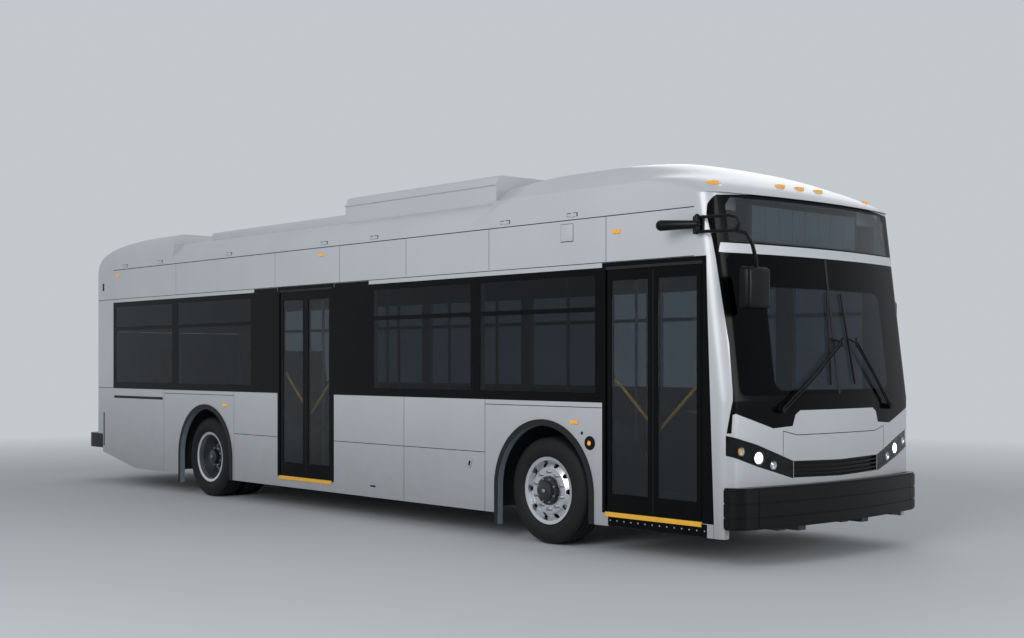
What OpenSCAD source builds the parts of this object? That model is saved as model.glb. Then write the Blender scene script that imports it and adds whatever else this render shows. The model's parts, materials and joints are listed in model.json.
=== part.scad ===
// City bus: low-floor single-deck body on two axles, with two slide-glide doorways.
// Frame: +X forward, +Y left, +Z up, millimetres, origin on the ground under the middle.

/* [Overall] */
// Length over the bumpers
overall_len = 11650; // [10500:10:12500]
// Front axle to the front of the front bumper
front_overhang = 2320; // [2200:10:2600]
// Front axle to rear axle
wheelbase = 5950; // [5600:10:6400]
// Width over the side panels
body_w = 2590; // [2440:10:2600]
// Outer edge of each mirror from the side panel
mirror_reach = 205; // [125:5:265]

/* [Heights] */
// Lower edge of the skirt
skirt_z = 240; // [200:5:300]
// Low floor and step height
floor_z = 350; // [320:5:400]
// Raised rear deck
deck_z = 800; // [740:5:860]
// Bottom of the window band
belt_z = 1283; // [1200:1:1350]
// Top of the window band
window_top_z = 2430; // [2300:1:2460]
// Top of the door portals
door_top_z = 2470; // [2420:1:2520]
// Roof seam over the door portals
seam_z = 400; // [280:5:480]
// Flat of the roof panel over the roof seam
roof_z = 270; // [190:5:330]
// Top of the front roof cap over the roof seam
cap_z = 538; // [460:1:620]
// Top of the low roof box over the flat of the roof
low_box_z = 122; // [60:1:160]
// Top of the high roof box over the flat of the roof
high_box_z = 280; // [200:1:340]
// Top of the rear roof hump over the roof seam
hump_z = 424; // [350:1:490]
// Bottom of the windscreen frame
cowl_z = 1320; // [1260:5:1380]

/* [Body] */
// Thickness of the side walls
wall_t = 60; // [45:1:80]
// Plan radius of the front corners
corner_r = 130; // [90:5:220]
// Bow of the front in plan, as a radius
bow_r = 5900; // [4000:50:8000]
// Windscreen rake from upright, degrees
rake = 7.4; // [4:0.1:11]
// Glass thickness
glass_t = 9; // [6:1:12]

/* [Wheels] */
// Tyre radius
tyre_r = 480; // [450:1:500]
// Tyre width
tyre_w = 285; // [255:1:315]
// Rim flange radius
rim_r = 302; // [290:1:310]
// Outer tyre face from the middle
tyre_out_y = 1247; // [1220:1:1260]
// Pitch of the rear twin tyres
dual_pitch = 330; // [320:1:345]
// Wheel arch radius
arch_r = 640; // [600:1:680]

/* [Doors] */
// Leaf thickness
leaf_t = 36; // [30:1:42]
// Gap between leaf and portal at the hinge side
leaf_gap = 14; // [12:1:20]
// Gap between the two leaves
meet_gap = 10; // [8:1:16]
// Pivot to trailing edge of a leaf
pivot_in = 34; // [28:1:40]

/* [Hidden] */
$fn = 48;
half_w = body_w / 2;
front_x = overall_len / 2;
axle_f = front_x - front_overhang;
axle_r = axle_f - wheelbase;
in_y = half_w - wall_t;
seam_at = door_top_z + seam_z;
roof_at = seam_at + roof_z;
cap_at = seam_at + cap_z;
hump_at = seam_at + hump_z;
low_box_at = roof_at + low_box_z;
high_box_at = roof_at + high_box_z;
wheel_f_y = tyre_out_y - tyre_w / 2;
king_y = wheel_f_y - 150;
spindle_r = 40;
rear_spindle_r = 60;
run_gap = 0.06;
gap = 0.4;
seat_gap = 0.3;
back = -overall_len / 2 - axle_f;
rear_face = back + 230;
cap_end = back + 940;
slope_x = cap_end + 648;
nose_x = front_overhang - 85;
corner_y = half_w - corner_r;
bow_drop = bow_r - sqrt(bow_r * bow_r - corner_y * corner_y);
bumper_x = front_overhang - 272;
tow_x = front_overhang - 340;
pillar_lo = nose_x - 281;
pillar_hi = pillar_lo - 81;
header_x = nose_x - 483;
skin_t = 45;
bumper_z0 = 316;
bumper_z1 = 644;
rear_bumper_z0 = 470;
rear_bumper_z1 = 660;
dome_front_z = seam_at + 107;
cap_end_x = -700;
cap_in_z = seam_at + 170;
leaf_y = -half_w + 27;
leaf_z0 = floor_z + 15;
leaf_z1 = door_top_z - 65;
arm_z0 = leaf_z1 + 6;
arm_t = 14;
shaft_r = 10;
rear_portal = [-wheelbase + 1614, -wheelbase + 2720];
front_portal = [arch_r + 95, pillar_hi];
jamb_w = 40;
front_jambs = [front_portal[0] + jamb_w, front_portal[1] - 38];
rear_jambs = [rear_portal[0] + jamb_w, rear_portal[1] - jamb_w];
deck_x = -wheelbase + 950;
well_r = arch_r + 28;
clear_z0 = belt_z + 85;
clear_z1 = window_top_z - 63;
transom_z = window_top_z - 372;
transom_h = 42;
seam_w = 7;
seam_d = 4;
ramp_t = 14;

// Window panels on both sides behind the doors: [rear edge, front edge, clear from, clear to]
REAR_WINDOWS = [[cap_end + 5, -wheelbase - 750, cap_end + 70, -wheelbase - 823],
                [-wheelbase - 742, -wheelbase + 1113, -wheelbase - 670, -wheelbase + 1045]];
R_WINDOWS = concat(REAR_WINDOWS,
                   [[rear_portal[1] + 632, -920, rear_portal[1] + 700, -987],
                    [-912, front_portal[0] - 4, -852, front_portal[0] - 84]]);
L_WINDOWS = concat(REAR_WINDOWS,
                   [[rear_portal[0] - 493, rear_portal[1] + 276, rear_portal[0] - 424, rear_portal[1] + 200],
                    [rear_portal[1] + 284, -920, rear_portal[1] + 360, -987],
                    [-912, front_portal[0] - 4, -852, front_portal[0] - 84]]);
DRIVER_WINDOW = [front_portal[0] + 55, nose_x - 545, front_portal[0] + 115, nose_x - 600];
// Opaque black panels beside the rear doorway: [rear edge, front edge]
PILLARS = [[rear_portal[0] - 493, rear_portal[0] - 4], [rear_portal[1] + 4, rear_portal[1] + 624]];
// Panel joints on both sides, as places along the bus
UPPER_SEAMS = [-wheelbase - 720, rear_portal[0] - 51, rear_portal[1] + 102, rear_portal[1] + 1250, -724,
               front_portal[0] + 47];
LOWER_SEAMS = [-wheelbase - 1032, -wheelbase + 674, rear_portal[1] + 1217, -arch_r - 140];
// Level joints on both sides: [rear end, front end, height]
LEVEL_SEAMS = [[-wheelbase + 674, -arch_r - 140, 790], [-arch_r - 140, front_portal[0], belt_z - 45],
               [-wheelbase - 1032, -wheelbase + 674, belt_z - 45], [cap_end, header_x, door_top_z + 4]];
// Edge of the black mask on the front corner: [behind the start of the corner, height]
MASK_EDGE = [[25, cowl_z], [31, cowl_z + 75], [74, cowl_z + 448], [184, door_top_z - 14], [213, door_top_z + 137],
             [258, seam_at - 70], [256, seam_at + 10], [221, seam_at + 85], [158, dome_front_z]];
// Lower edge of the black cowl across the nose: [from the middle, height]
COWL_EDGE = [[0, 1238], [520, 1238], [575, 1205], [610, 1113], [830, 1100], [1215, 1222], [1238, 1215],
             [1245, 1070], [1400, 1070]];
// Outline of a headlamp: [from the middle, height, share of the inset along each]
LAMP_EDGE = [[600, 690, 1, 1], [600, 832, 1, -1], [1000, 975, 0, -1.05], [1275, 1052, -1, -1], [1275, 895, -1, 1],
             [1000, 802, 0, 1.05]];
// Lamps in each headlamp: [from the middle, height, radius]
LAMPS = [[1152, 925, 42], [972, 868, 62], [815, 805, 44]];

function fx(x) = axle_f + x;

// Plan outline with a bowed front, rounded corners and a square back, anticlockwise.
function plan_pts(xf, yw, rc, bow, xr, n = 8, m = 14) =
    let (cx = xf - bow, u0 = yw - rc, v0 = cx + sqrt(pow(bow - rc, 2) - u0 * u0), p = atan2(u0, v0 - cx))
    concat([[xr, -yw]],
           [for (i = [0:n]) let (t = -90 + (90 - p) * i / n) [v0 + rc * cos(t), -u0 + rc * sin(t)]],
           [for (i = [1:m - 1]) let (t = -p + 2 * p * i / m) [cx + bow * cos(t), bow * sin(t)]],
           [for (i = [0:n]) let (t = p + (90 - p) * i / n) [v0 + rc * cos(t), u0 + rc * sin(t)]],
           [[xr, yw]]);

// Solid through a stack of level outlines that all have the same number of points.
module stack(zs, rings) {
    n = len(rings[0]);
    top = (len(zs) - 1) * n;
    pts = [for (i = [0:len(zs) - 1]) for (p = rings[i]) [p[0], p[1], zs[i]]];
    sides = [for (i = [0:len(zs) - 2]) for (j = [0:n - 1])
             let (a = i * n + j, b = i * n + (j + 1) % n) each [[a, a + n, b + n], [a, b + n, b]]];
    polyhedron(points = pts, faces = concat([[for (j = [0:n - 1]) j]],
               [[for (j = [n - 1:-1:0]) top + j]], sides));
}

// Outline in X and Z drawn through from y0 to y1.
module along_y(y0, y1) {
    translate([0, y1, 0])
        rotate([90, 0, 0])
            linear_extrude(y1 - y0)
                children();
}

// Outline in Y and Z drawn through from x0 to x1.
module along_x(x0, x1) {
    translate([x0, 0, 0])
        rotate([90, 0, 90])
            linear_extrude(x1 - x0)
                children();
}

module box(x0, x1, y0, y1, z0, z1) {
    translate([x0, y0, z0])
        cube([x1 - x0, y1 - y0, z1 - z0]);
}

module rod_y(x, z, r, y0, y1) {
    translate([x, y0, z])
        rotate([-90, 0, 0])
            cylinder(r = r, h = y1 - y0);
}

// Straight round bar between two points.
module bar(p, q, r) {
    d = q - p;
    translate(p)
        rotate([0, atan2(norm([d[0], d[1]]), d[2]), atan2(d[1], d[0])])
            cylinder(r = r, h = norm(d));
}

// Front face of the nose at y, and of the raked screen at y and z.
function nose_face(y) = nose_x - bow_r + sqrt(bow_r * bow_r - y * y);
function screen_face(y, z) = nose_face(y) - (z - cowl_z) * tan(rake);

// Nose of the body, set in by o: upright below the cowl, raked above it.
module nose_plan(o) {
    polygon(plan_pts(fx(nose_x) - o, half_w - o, corner_r - o, bow_r - o, fx(nose_x - 1035), 10, 18));
}

module nose_upright(o, z0, z1) {
    translate([0, 0, z0])
        linear_extrude(z1 - z0)
            nose_plan(o);
}

module nose_raked(o) {
    translate([fx(nose_x), 0, cowl_z])
        rotate([0, -rake, 0])
            translate([-fx(nose_x), 0, -300])
                linear_extrude(2300)
                    nose_plan(o);
}

module upright_skin(o, t) {
    difference() {
        nose_upright(o, skirt_z, cowl_z);
        nose_upright(o + t, skirt_z - 1, cowl_z + 1);
    }
}

module raked_skin(o, t) {
    difference() {
        nose_raked(o);
        nose_raked(o + t);
    }
}

// Section of the roof panel, set in by o.
module roof_2d(o, z0) {
    r = roof_at - seam_at - o;
    yc = half_w - roof_at + seam_at;
    zc = seam_at;
    polygon(concat([[half_w - o, z0]],
                   [for (i = [0:9]) [yc + r * cos(i * 10), zc + r * sin(i * 10)]],
                   [for (i = [9:-1:0]) [-yc - r * cos(i * 10), zc + r * sin(i * 10)]],
                   [[-half_w + o, z0]]));
}

module arch_2d(x, r) {
    translate([x, tyre_r])
        circle(r);
    translate([x - r, 0])
        square([2 * r, tyre_r]);
}

// Side wall outline without doorways.
module wall_2d(front) {
    difference() {
        polygon(concat([[fx(cap_end), seam_at - gap], [fx(cap_end), skirt_z + 120], [fx(slope_x), skirt_z]],
                       front));
        arch_2d(axle_f, arch_r);
        arch_2d(axle_r, arch_r);
    }
}

// Rebate and clear opening for one flush window panel.
module window_cut(w, side) {
    y0 = side > 0 ? half_w - glass_t - 0.5 : -half_w - 1;
    box(fx(w[0]) - 1, fx(w[1]) + 1, y0, y0 + glass_t + 1.5, belt_z - 1, window_top_z + 1);
    y1 = side > 0 ? in_y - 1 : -half_w + 5;
    box(fx(w[2]), fx(w[3]), y1, y1 + wall_t - 4, clear_z0, clear_z1);
}

// Shallow joints between the outer panels of one side.
module seams(side) {
    y0 = side > 0 ? half_w - seam_d : -half_w - seam_d;
    y1 = y0 + 2 * seam_d;
    for (x = UPPER_SEAMS)
        box(fx(x) - seam_w / 2, fx(x) + seam_w / 2, y0, y1, door_top_z + 4, seam_at);
    for (x = LOWER_SEAMS)
        box(fx(x) - seam_w / 2, fx(x) + seam_w / 2, y0, y1, 0, belt_z - 1);
    for (l = LEVEL_SEAMS)
        box(fx(l[0]), fx(l[1]), y0, y1, l[2] - seam_w / 2, l[2] + seam_w / 2);
    box(fx(cap_end) - 10, fx(header_x), y0, y1, seam_at - 9, seam_at);
    box(fx(cap_end) + 16, fx(cap_end) + 1382, side > 0 ? half_w - 15 : -half_w - 1,
        side > 0 ? half_w + 1 : -half_w + 15, 1153, 1187);
}

module wall_right() {
    color("#dfe2e4")
    difference() {
        along_y(-half_w, -in_y)
            wall_2d([[fx(pillar_lo) - 4, skirt_z], [fx(pillar_lo) - 4, floor_z], [fx(front_portal[0]), floor_z],
                     [fx(front_portal[0]), door_top_z], [fx(header_x) - gap, door_top_z],
                     [fx(header_x) - gap, seam_at - gap]]);
        box(fx(rear_portal[0]), fx(rear_portal[1]), -half_w - 1, -in_y + 1, floor_z, door_top_z);
        box(fx(front_jambs[0]) + 30, fx(front_jambs[1]) + 50, -half_w - 1, -half_w + ramp_t + seat_gap, 0,
            floor_z - 5);
        for (w = R_WINDOWS)
            window_cut(w, -1);
        for (p = PILLARS)
            box(fx(p[0]) - 1, fx(p[1]) + 1, -half_w - 1, -half_w + glass_t + 0.5, belt_z - 1, door_top_z - 1);
        seams(-1);
    }
}

module wall_left() {
    color("#dfe2e4")
    difference() {
        along_y(in_y, half_w)
            wall_2d([[fx(pillar_lo) - 4, skirt_z], [fx(pillar_lo) - 4, floor_z], [fx(pillar_hi) - 4, door_top_z],
                     [fx(header_x) - gap, door_top_z], [fx(header_x) - gap, seam_at - gap]]);
        for (w = L_WINDOWS)
            window_cut(w, 1);
        window_cut(DRIVER_WINDOW, 1);
        seams(1);
    }
}

module roof_panel() {
    color("#d8dbdd")
    difference() {
        along_x(fx(cap_end) + gap, fx(cap_end_x))
            roof_2d(0, seam_at);
        along_x(fx(cap_end) - 10, fx(cap_end_x) + 100)
            roof_2d(wall_t, seam_at - 10);
    }
}

// Shape of the front roof cap by height: front, side, rear end and how far its rear corners sweep in.
crease_z = seam_at + 262;
knee_z = crease_z + 0.616 * (cap_at - crease_z);
knee_y = half_w - 235;
cap_bow = (knee_y * knee_y + pow(cap_at - knee_z, 2)) / (2 * (cap_at - knee_z));
function rise(z) = max(0, min(1, (z - dome_front_z) / (cap_at - dome_front_z)));
function cap_front(z) = 720 + (nose_x - 912) * pow(1 - pow(rise(z), 1.2), 0.65);
function cap_side(z) = z <= crease_z ? half_w - 4 - 10 * pow(max(0, (z - crease_z + 25) / 25), 2)
                     : z <= knee_z ? half_w - 14 - (half_w - 14 - knee_y) * (z - crease_z) / (knee_z - crease_z)
                     : sqrt(max(0, cap_bow * cap_bow - pow(z - cap_at + cap_bow, 2)));
function cap_back(z) = cap_end_x + 300 - sqrt(pow(1410, 2) - pow(z - cap_at + 1408, 2));

// Plan outline of the cap: bowed front, rounded front corners, rear corners swept in over l by d.
function cap_pts(z) =
    let (y = cap_side(z), xr = fx(cap_back(z)), l = min(1000, 300 + max(0, z - seam_at) * 3),
         d = min(240, 0.2 * y), pts = plan_pts(fx(min(cap_front(z), nose_x - 192 + (dome_front_z - z) * 0.12)), y,
         min(150 + max(0, z - dome_front_z) * 2.8, 0.6 * y), bow_r - max(0, z - dome_front_z) * 6, xr + l, 10, 18),
         n = len(pts))
    concat([for (i = [0:5]) let (s = i / 6) [xr + l * s, -(y - d * pow(1 - s, 2) * (1 + 2 * s))]],
           pts,
           [for (i = [5:-1:0]) let (s = i / 6) [xr + l * s, y - d * pow(1 - s, 2) * (1 + 2 * s)]]);

CAP_RISE = [0.13, 0.25, 0.34, 0.39, 0.44, 0.5, 0.57, 0.64, 0.71, 0.76, 0.81, 0.87, 0.92, 0.96, 0.985, 0.998];

// Front roof cap: a dome whose brow overhangs the destination sign.
module front_cap() {
    zs = concat([seam_at + gap, dome_front_z], [for (t = CAP_RISE) dome_front_z + t * (cap_at - dome_front_z)]);
    color("#e2e4e6")
    difference() {
        stack(zs, [for (z = zs) cap_pts(z)]);
        box(fx(header_x), fx(nose_x) + 200, -2000, 2000, 2000, dome_front_z);
        box(fx(cap_end_x) + 10, fx(header_x) - 52, -in_y, in_y, 2000, cap_in_z);
        along_x(fx(cap_end_x) - 1100, fx(cap_end_x) + gap)
            roof_2d(-gap, seam_at - 100);
        box(fx(cap_end_x) - 1100, fx(high_box[1]) + gap, -high_box_y - gap, high_box_y + gap, roof_at - 10,
            cap_at + 200);
        front_markers(seat_gap);
    }
}

hump_flank_z = seam_at + 130;
function hump_end(z) = -rear_face - 1600
    + 1600 * pow(1 - pow(min(1, max(0, (z - seam_at + 20) / (hump_at - seam_at + 26))), 2.2), 0.4545);
function hump_side(z) = half_w - 605
    + 601 * pow(1 - pow(max(0, (z - hump_flank_z) / (hump_at - hump_flank_z + 6)), 2.4), 0.41667);

HUMP_RISE = [0.19, 0.35, 0.5, 0.59, 0.68, 0.77, 0.84, 0.9, 0.94, 0.98, 1];

// Rear roof hump, carried round onto the rear face.
module rear_hump() {
    zs = concat([seam_at + gap], [for (t = HUMP_RISE) seam_at + t * hump_z]);
    color("#e2e4e6")
    difference() {
        translate([axle_f, 0, 0])
            mirror([1, 0, 0])
                stack(zs, [for (z = zs) let (y = hump_side(z))
                           plan_pts(hump_end(z), y, min(250 + max(0, z - hump_flank_z) * 0.8, 0.6 * y), 9000,
                                    -rear_face - 2340 + max(0, z - roof_at) * 3)]);
        along_x(fx(cap_end) + gap, fx(cap_end) + 2390)
            roof_2d(-gap, seam_at - 100);
        box(fx(cap_end) - 600, fx(cap_end) + 10, -in_y, in_y, 2000, hump_flank_z);
    }
}

// Roof housings: [rear end, front end], and the half width of the high one over its lip
low_box = [rear_face + 2800, rear_portal[1] - 165];
high_box = [rear_portal[1] - 140, -900];
high_box_y = 1060;
low_box_y = 1000;

module low_roof_box() {
    z = low_box_at;
    y = low_box_y;
    color("#d4d7d9")
    along_x(fx(low_box[0]), fx(low_box[1]))
        polygon([[-y, roof_at + 0.5], [y, roof_at + 0.5], [y, z - 57], [y - 15, z - 32], [y - 50, z - 17], [0, z],
                 [50 - y, z - 17], [15 - y, z - 32], [-y, z - 57]]);
}

module high_roof_box() {
    z = high_box_at;
    y = high_box_y;
    color("#d4d7d9")
    along_x(fx(high_box[0]), fx(high_box[1]))
        polygon([[15 - y, roof_at + 0.5], [y - 15, roof_at + 0.5], [y - 15, z - 108], [y, z - 104], [y, z - 90],
                 [y - 25, z - 86], [y - 40, z - 30], [y - 70, z - 8], [0, z], [70 - y, z - 8], [40 - y, z - 30],
                 [25 - y, z - 86], [-y, z - 90], [-y, z - 104], [15 - y, z - 108]]);
}

// Region in X and Z that belongs to the nose pieces, ahead of the door posts.
module nose_2d() {
    polygon([[fx(pillar_lo), 0], [fx(pillar_lo), floor_z], [fx(pillar_hi), door_top_z], [fx(header_x), door_top_z],
             [fx(header_x), dome_front_z - gap], [fx(nose_x) + 200, dome_front_z - gap], [fx(nose_x) + 200, 0]]);
}

// Region in X and Z ahead of the mask edge, set on by o.
module mask_2d(o) {
    x = fx(nose_x) - bow_drop + o;
    polygon(concat([for (e = MASK_EDGE) [x - e[0], e[1]]],
                   [[fx(nose_x) + 200, dome_front_z], [fx(nose_x) + 200, 900], [x - 58, 900], [x - 58, 1070]]));
}

// Region in Y and Z above the cowl edge, set up by o.
module cowl_2d(o) {
    polygon(concat([for (e = COWL_EDGE) [e[0], e[1] + o]],
                   [[1400, cowl_z + 1], [-1400, cowl_z + 1]],
                   [for (i = [len(COWL_EDGE) - 1:-1:1]) [-COWL_EDGE[i][0], COWL_EDGE[i][1] + o]]));
}

// Headlamp outline seen from the front for the side s, drawn in by o.
module lamp_2d(s, o) {
    polygon([for (e = LAMP_EDGE) [s * (e[0] + o * e[2]), e[1] + o * e[3]]]);
}

module grille_2d(o) {
    polygon([[-597 + o, 697 + o], [0, 684 + o], [597 - o, 697 + o], [597 - o, 832 - o], [0, 820 - o],
             [-597 + o, 832 - o]]);
}

// Thin line across the nose, drawn as a band of seam width along points in Y and Z.
module nose_line(points) {
    for (i = [0:len(points) - 2])
        polygon([points[i] - [0, seam_w / 2], points[i + 1] - [0, seam_w / 2], points[i + 1] + [0, seam_w / 2],
                 points[i] + [0, seam_w / 2]]);
}

// White front: lower nose, corner posts and the band between screen and sign.
module nose_panel() {
    color("#e6e8ea") {
        difference() {
            intersection() {
                upright_skin(0, skin_t);
                along_y(-2000, 2000)
                    nose_2d();
            }
            box(fx(bumper_x) - seat_gap, fx(nose_x) + 200, -2000, 2000, 0, bumper_z1 + seat_gap);
            intersection() {
                along_x(fx(nose_x) - 400, fx(nose_x) + 200)
                    cowl_2d(-gap);
                along_y(-2000, 2000)
                    mask_2d(-gap);
            }
            for (s = [-1, 1]) {
                along_x(fx(nose_x) - 275, fx(nose_x) + 200)
                    lamp_2d(s, 0);
                box(fx(nose_x) - bow_drop - 80, fx(nose_x) - bow_drop - 73, s > 0 ? half_w - 12 : -half_w - 9,
                    s > 0 ? half_w + 9 : -half_w + 12, floor_z, 1062);
            }
            along_x(fx(nose_x) - 275, fx(nose_x) + 200)
                grille_2d(0);
            intersection() {
                nose_upright(-20, 600, cowl_z);
                along_x(fx(nose_x) - 275, fx(nose_x) + 200) {
                    nose_line([[-720, 1076], [-560, 1040], [560, 1040], [720, 1076]]);
                    for (s = [-1, 1])
                        translate([s * 718 - seam_w / 2, 878])
                            square([seam_w, 198]);
                }
                difference() {
                    nose_upright(-20, 600, cowl_z);
                    nose_upright(5, 599, cowl_z + 1);
                }
            }
        }
        difference() {
            intersection() {
                raked_skin(0, skin_t);
                along_y(-2000, 2000)
                    intersection() {
                        nose_2d();
                        translate([fx(header_x) - 10, cowl_z - 0.01])
                            square([1000, 2000]);
                    }
            }
            along_y(-2000, 2000)
                mask_2d(-gap);
        }
        intersection() {
            raked_skin(0, 10 - seat_gap);
            sign_band(seat_gap);
        }
    }
}

// Room for the white band between windscreen and sign.
module sign_band(o) {
    box(fx(nose_x) - bow_drop - 173 + o, fx(nose_x) + 200, -2000, 2000, 2496 + o, 2574 - o);
}

module screen_opening(o) {
    along_x(fx(nose_x) - 700, fx(nose_x) + 200)
        polygon([[-1165 + o, 1400 + o], [-1130 + o, 1362 + o], [1130 - o, 1362 + o], [1165 - o, 1400 + o],
                 [1165 - o, 2440 - o], [1120 - o, 2486 - o], [-1120 + o, 2486 - o], [-1165 + o, 2440 - o]]);
}

module sign_opening(o) {
    along_x(fx(nose_x) - 700, fx(nose_x) + 200)
        polygon([[-1120 + o, 2585 + o], [1120 - o, 2585 + o], [1120 - o, 2880 - o], [1060 - o, 2945 - o],
                 [-1060 + o, 2945 - o], [-1120 + o, 2880 - o]]);
}

// Black mask round the windscreen and sign, with the cowl below them.
module screen_frame() {
    color("#1c1e20") {
        difference() {
            intersection() {
                raked_skin(0, skin_t);
                along_y(-2000, 2000)
                    intersection() {
                        nose_2d();
                        mask_2d(0);
                        translate([fx(header_x), cowl_z])
                            square([1000, 2000]);
                    }
            }
            screen_opening(0);
            sign_opening(0);
            intersection() {
                raked_skin(-5, 15);
                sign_band(0);
            }
        }
        intersection() {
            upright_skin(0, skin_t);
            along_x(fx(nose_x) - 400, fx(nose_x) + 200)
                cowl_2d(0);
            along_y(-2000, 2000)
                mask_2d(0);
        }
    }
}

module windscreen() {
    color("#2a3034", 0.6)
    difference() {
        intersection() {
            raked_skin(0, glass_t);
            screen_opening(seat_gap);
        }
        box(fx(nose_x) - 735, fx(nose_x) + 200, -3, 3, 1000, 3000);
    }
}

module sign_glass() {
    color("#15181a", 0.8)
    intersection() {
        raked_skin(0, glass_t);
        sign_opening(seat_gap);
    }
}

// Plan of the rear end, set in by o.
module tail(o, z0, z1) {
    translate([axle_f, 0, z0])
        mirror([1, 0, 0])
            linear_extrude(z1 - z0)
                polygon(plan_pts(-rear_face - o, half_w - o, 250 - o, 9000 - o, -rear_face - 1100, 10, 18));
}

module tail_skin(o, t, z0, z1) {
    difference() {
        tail(o, z0, z1);
        tail(o + t, z0 - 1, z1 + 1);
    }
}

// Rear hatch: half width, bottom, top
HATCH = [1000, 700, 2050];
hatch_gap = 6;
hinge_x = fx(rear_face) - 6;
hinge_z = HATCH[2] + 3;
hinge_r = 12;
hinge_pin_r = 5;
hinge_y = 600;
strap_y = 32;
// Cuts in each rear corner: [ahead of the rear face, width, bottom, top]
CORNER_VENTS = [[410, 40, 500, 950], [380, 60, 2600, 2700]];
LOUVRES = 7;

module rear_cap() {
    color("#e2e4e6")
    difference() {
        tail_skin(0, wall_t, skirt_z, seam_at - gap);
        box(fx(cap_end) - gap, fx(cap_end) + 1390, -2000, 2000, 0, 4000);
        along_y(-2000, 2000)
            polygon([[fx(slope_x), skirt_z], [fx(rear_face) - 200, skirt_z + 289], [fx(rear_face) - 200, 0],
                     [fx(slope_x), 0]]);
        box(fx(rear_face) - 200, fx(rear_face) + 400, -2000, 2000, 0, rear_bumper_z1);
        box(fx(rear_face) - 200, fx(rear_face) + 300, -HATCH[0] - hatch_gap, HATCH[0] + hatch_gap,
            HATCH[1] - hatch_gap, HATCH[2] + hatch_gap);
        tail_lamp_set(seat_gap);
        for (z = [belt_z, door_top_z])
            tail_skin(-5, 5 + seam_d, z, z + seam_w);
        for (s = [-1, 1]) {
            rod_y(hinge_x, hinge_z, hinge_r + 6, s * hinge_y - strap_y - 6, s * hinge_y + strap_y + 6);
            for (v = CORNER_VENTS)
                box(fx(rear_face) + v[0], fx(rear_face) + v[0] + v[1], s > 0 ? half_w - 9 : -half_w - 1,
                    s > 0 ? half_w + 1 : -half_w + 9, v[2], v[3]);
        }
    }
    color("#e2e4e6")
    for (s = [-1, 1]) {
        rod_y(hinge_x, hinge_z, hinge_pin_r, s * hinge_y - 55, s * hinge_y + 55);
        for (d = [-1, 1])
            translate([0, s * hinge_y + d * (strap_y + 16), 0]) {
                rod_y(hinge_x, hinge_z, hinge_r, -10, 10);
                box(hinge_x - hinge_r, hinge_x + 45, -10, 10, hinge_z + 4, hinge_z + 40);
            }
    }
}

module rear_hatch() {
    color("#e2e4e6")
    for (s = [-1, 1])
        difference() {
            union() {
                rod_y(hinge_x, hinge_z, hinge_r, s * hinge_y - strap_y, s * hinge_y + strap_y);
                box(hinge_x - hinge_r, hinge_x + 45, s * hinge_y - strap_y, s * hinge_y + strap_y, hinge_z - 45,
                    hinge_z - 4);
            }
            rod_y(hinge_x, hinge_z, hinge_pin_r + 0.05, s * hinge_y - 40, s * hinge_y + 40);
        }
    color("#e2e4e6")
    difference() {
        intersection() {
            tail_skin(0, 30, HATCH[1], HATCH[2]);
            box(fx(rear_face) - 200, fx(rear_face) + 300, -HATCH[0], HATCH[0], HATCH[1], HATCH[2]);
        }
        intersection() {
            tail_skin(-5, 17, HATCH[1], HATCH[2]);
            union() {
                for (i = [0:LOUVRES - 1])
                    box(fx(rear_face) - 200, fx(rear_face) + 300, -720, 720, 1280 + i * 80, 1322 + i * 80);
                box(fx(rear_face) - 200, fx(rear_face) + 300, -95, 95, 740, 775);
            }
        }
        box(fx(rear_face) - 200, fx(rear_face) + 8, -260, 260, 850, 980);
    }
}

// Layers of the front bumper: [bottom, top, set in]
BUMPER_LAYERS = [[0, 14, 12], [14, 89, 0], [89, 101, 9], [101, 202, 0], [202, 214, 9], [214, 314, 0],
                 [314, 328, 10]];

module front_bumper() {
    color("#1a1b1d")
    difference() {
        for (l = BUMPER_LAYERS)
            translate([0, 0, bumper_z0 + l[0]])
                linear_extrude(l[1] - l[0])
                    polygon(plan_pts(front_x - l[2], half_w - 2 - l[2], 160 - l[2], 6500 - l[2], fx(bumper_x), 10,
                                     18));
        translate([0, 0, bumper_z0 - 16])
            linear_extrude(400)
                polygon(plan_pts(front_x - 90, half_w - 60, 100, 6500, fx(bumper_x) - 48, 10, 18));
        for (s = [-1, 1])
            box(fx(bumper_x) - 48, front_x + 10, s * 1080 - 3, s * 1080 + 3, 0, 1000);
    }
}

module rear_bumper() {
    color("#1a1b1d")
    difference() {
        translate([0, 0, rear_bumper_z0])
            mirror([1, 0, 0])
                linear_extrude(rear_bumper_z1 - seat_gap - rear_bumper_z0)
                    polygon(plan_pts(overall_len / 2, half_w - 4, 230, 8000, -fx(rear_face) - 396, 10, 18));
        translate([0, 0, rear_bumper_z0 - 20])
            mirror([1, 0, 0])
                linear_extrude(rear_bumper_z1 - rear_bumper_z0 - 20)
                    polygon(plan_pts(overall_len / 2 - 110, half_w - 60, 200, 8000, -fx(rear_face) - 600, 10, 18));
    }
}

module headlamps() {
    color("#101113")
    for (s = [-1, 1])
        intersection() {
            union() {
                difference() {
                    upright_skin(4, 40);
                    intersection() {
                        nose_upright(-5, 600, 1200);
                        along_x(fx(nose_x) - 300, fx(nose_x) + 200)
                            lamp_2d(s, 9);
                        difference() {
                            nose_upright(-5, 599, 1201);
                            nose_upright(30, 598, 1202);
                        }
                    }
                }
                intersection() {
                    upright_skin(10, 34);
                    for (l = LAMPS)
                        translate([fx(nose_x) - 300, s * l[0], l[1]])
                            rotate([0, 90, 0])
                                difference() {
                                    cylinder(r = l[2], h = 500);
                                    translate([0, 0, -1])
                                        cylinder(r = l[2] - 7, h = 502);
                                }
                }
            }
            along_x(fx(nose_x) - 273, fx(nose_x) + 200)
                lamp_2d(s, seat_gap);
        }
}

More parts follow.
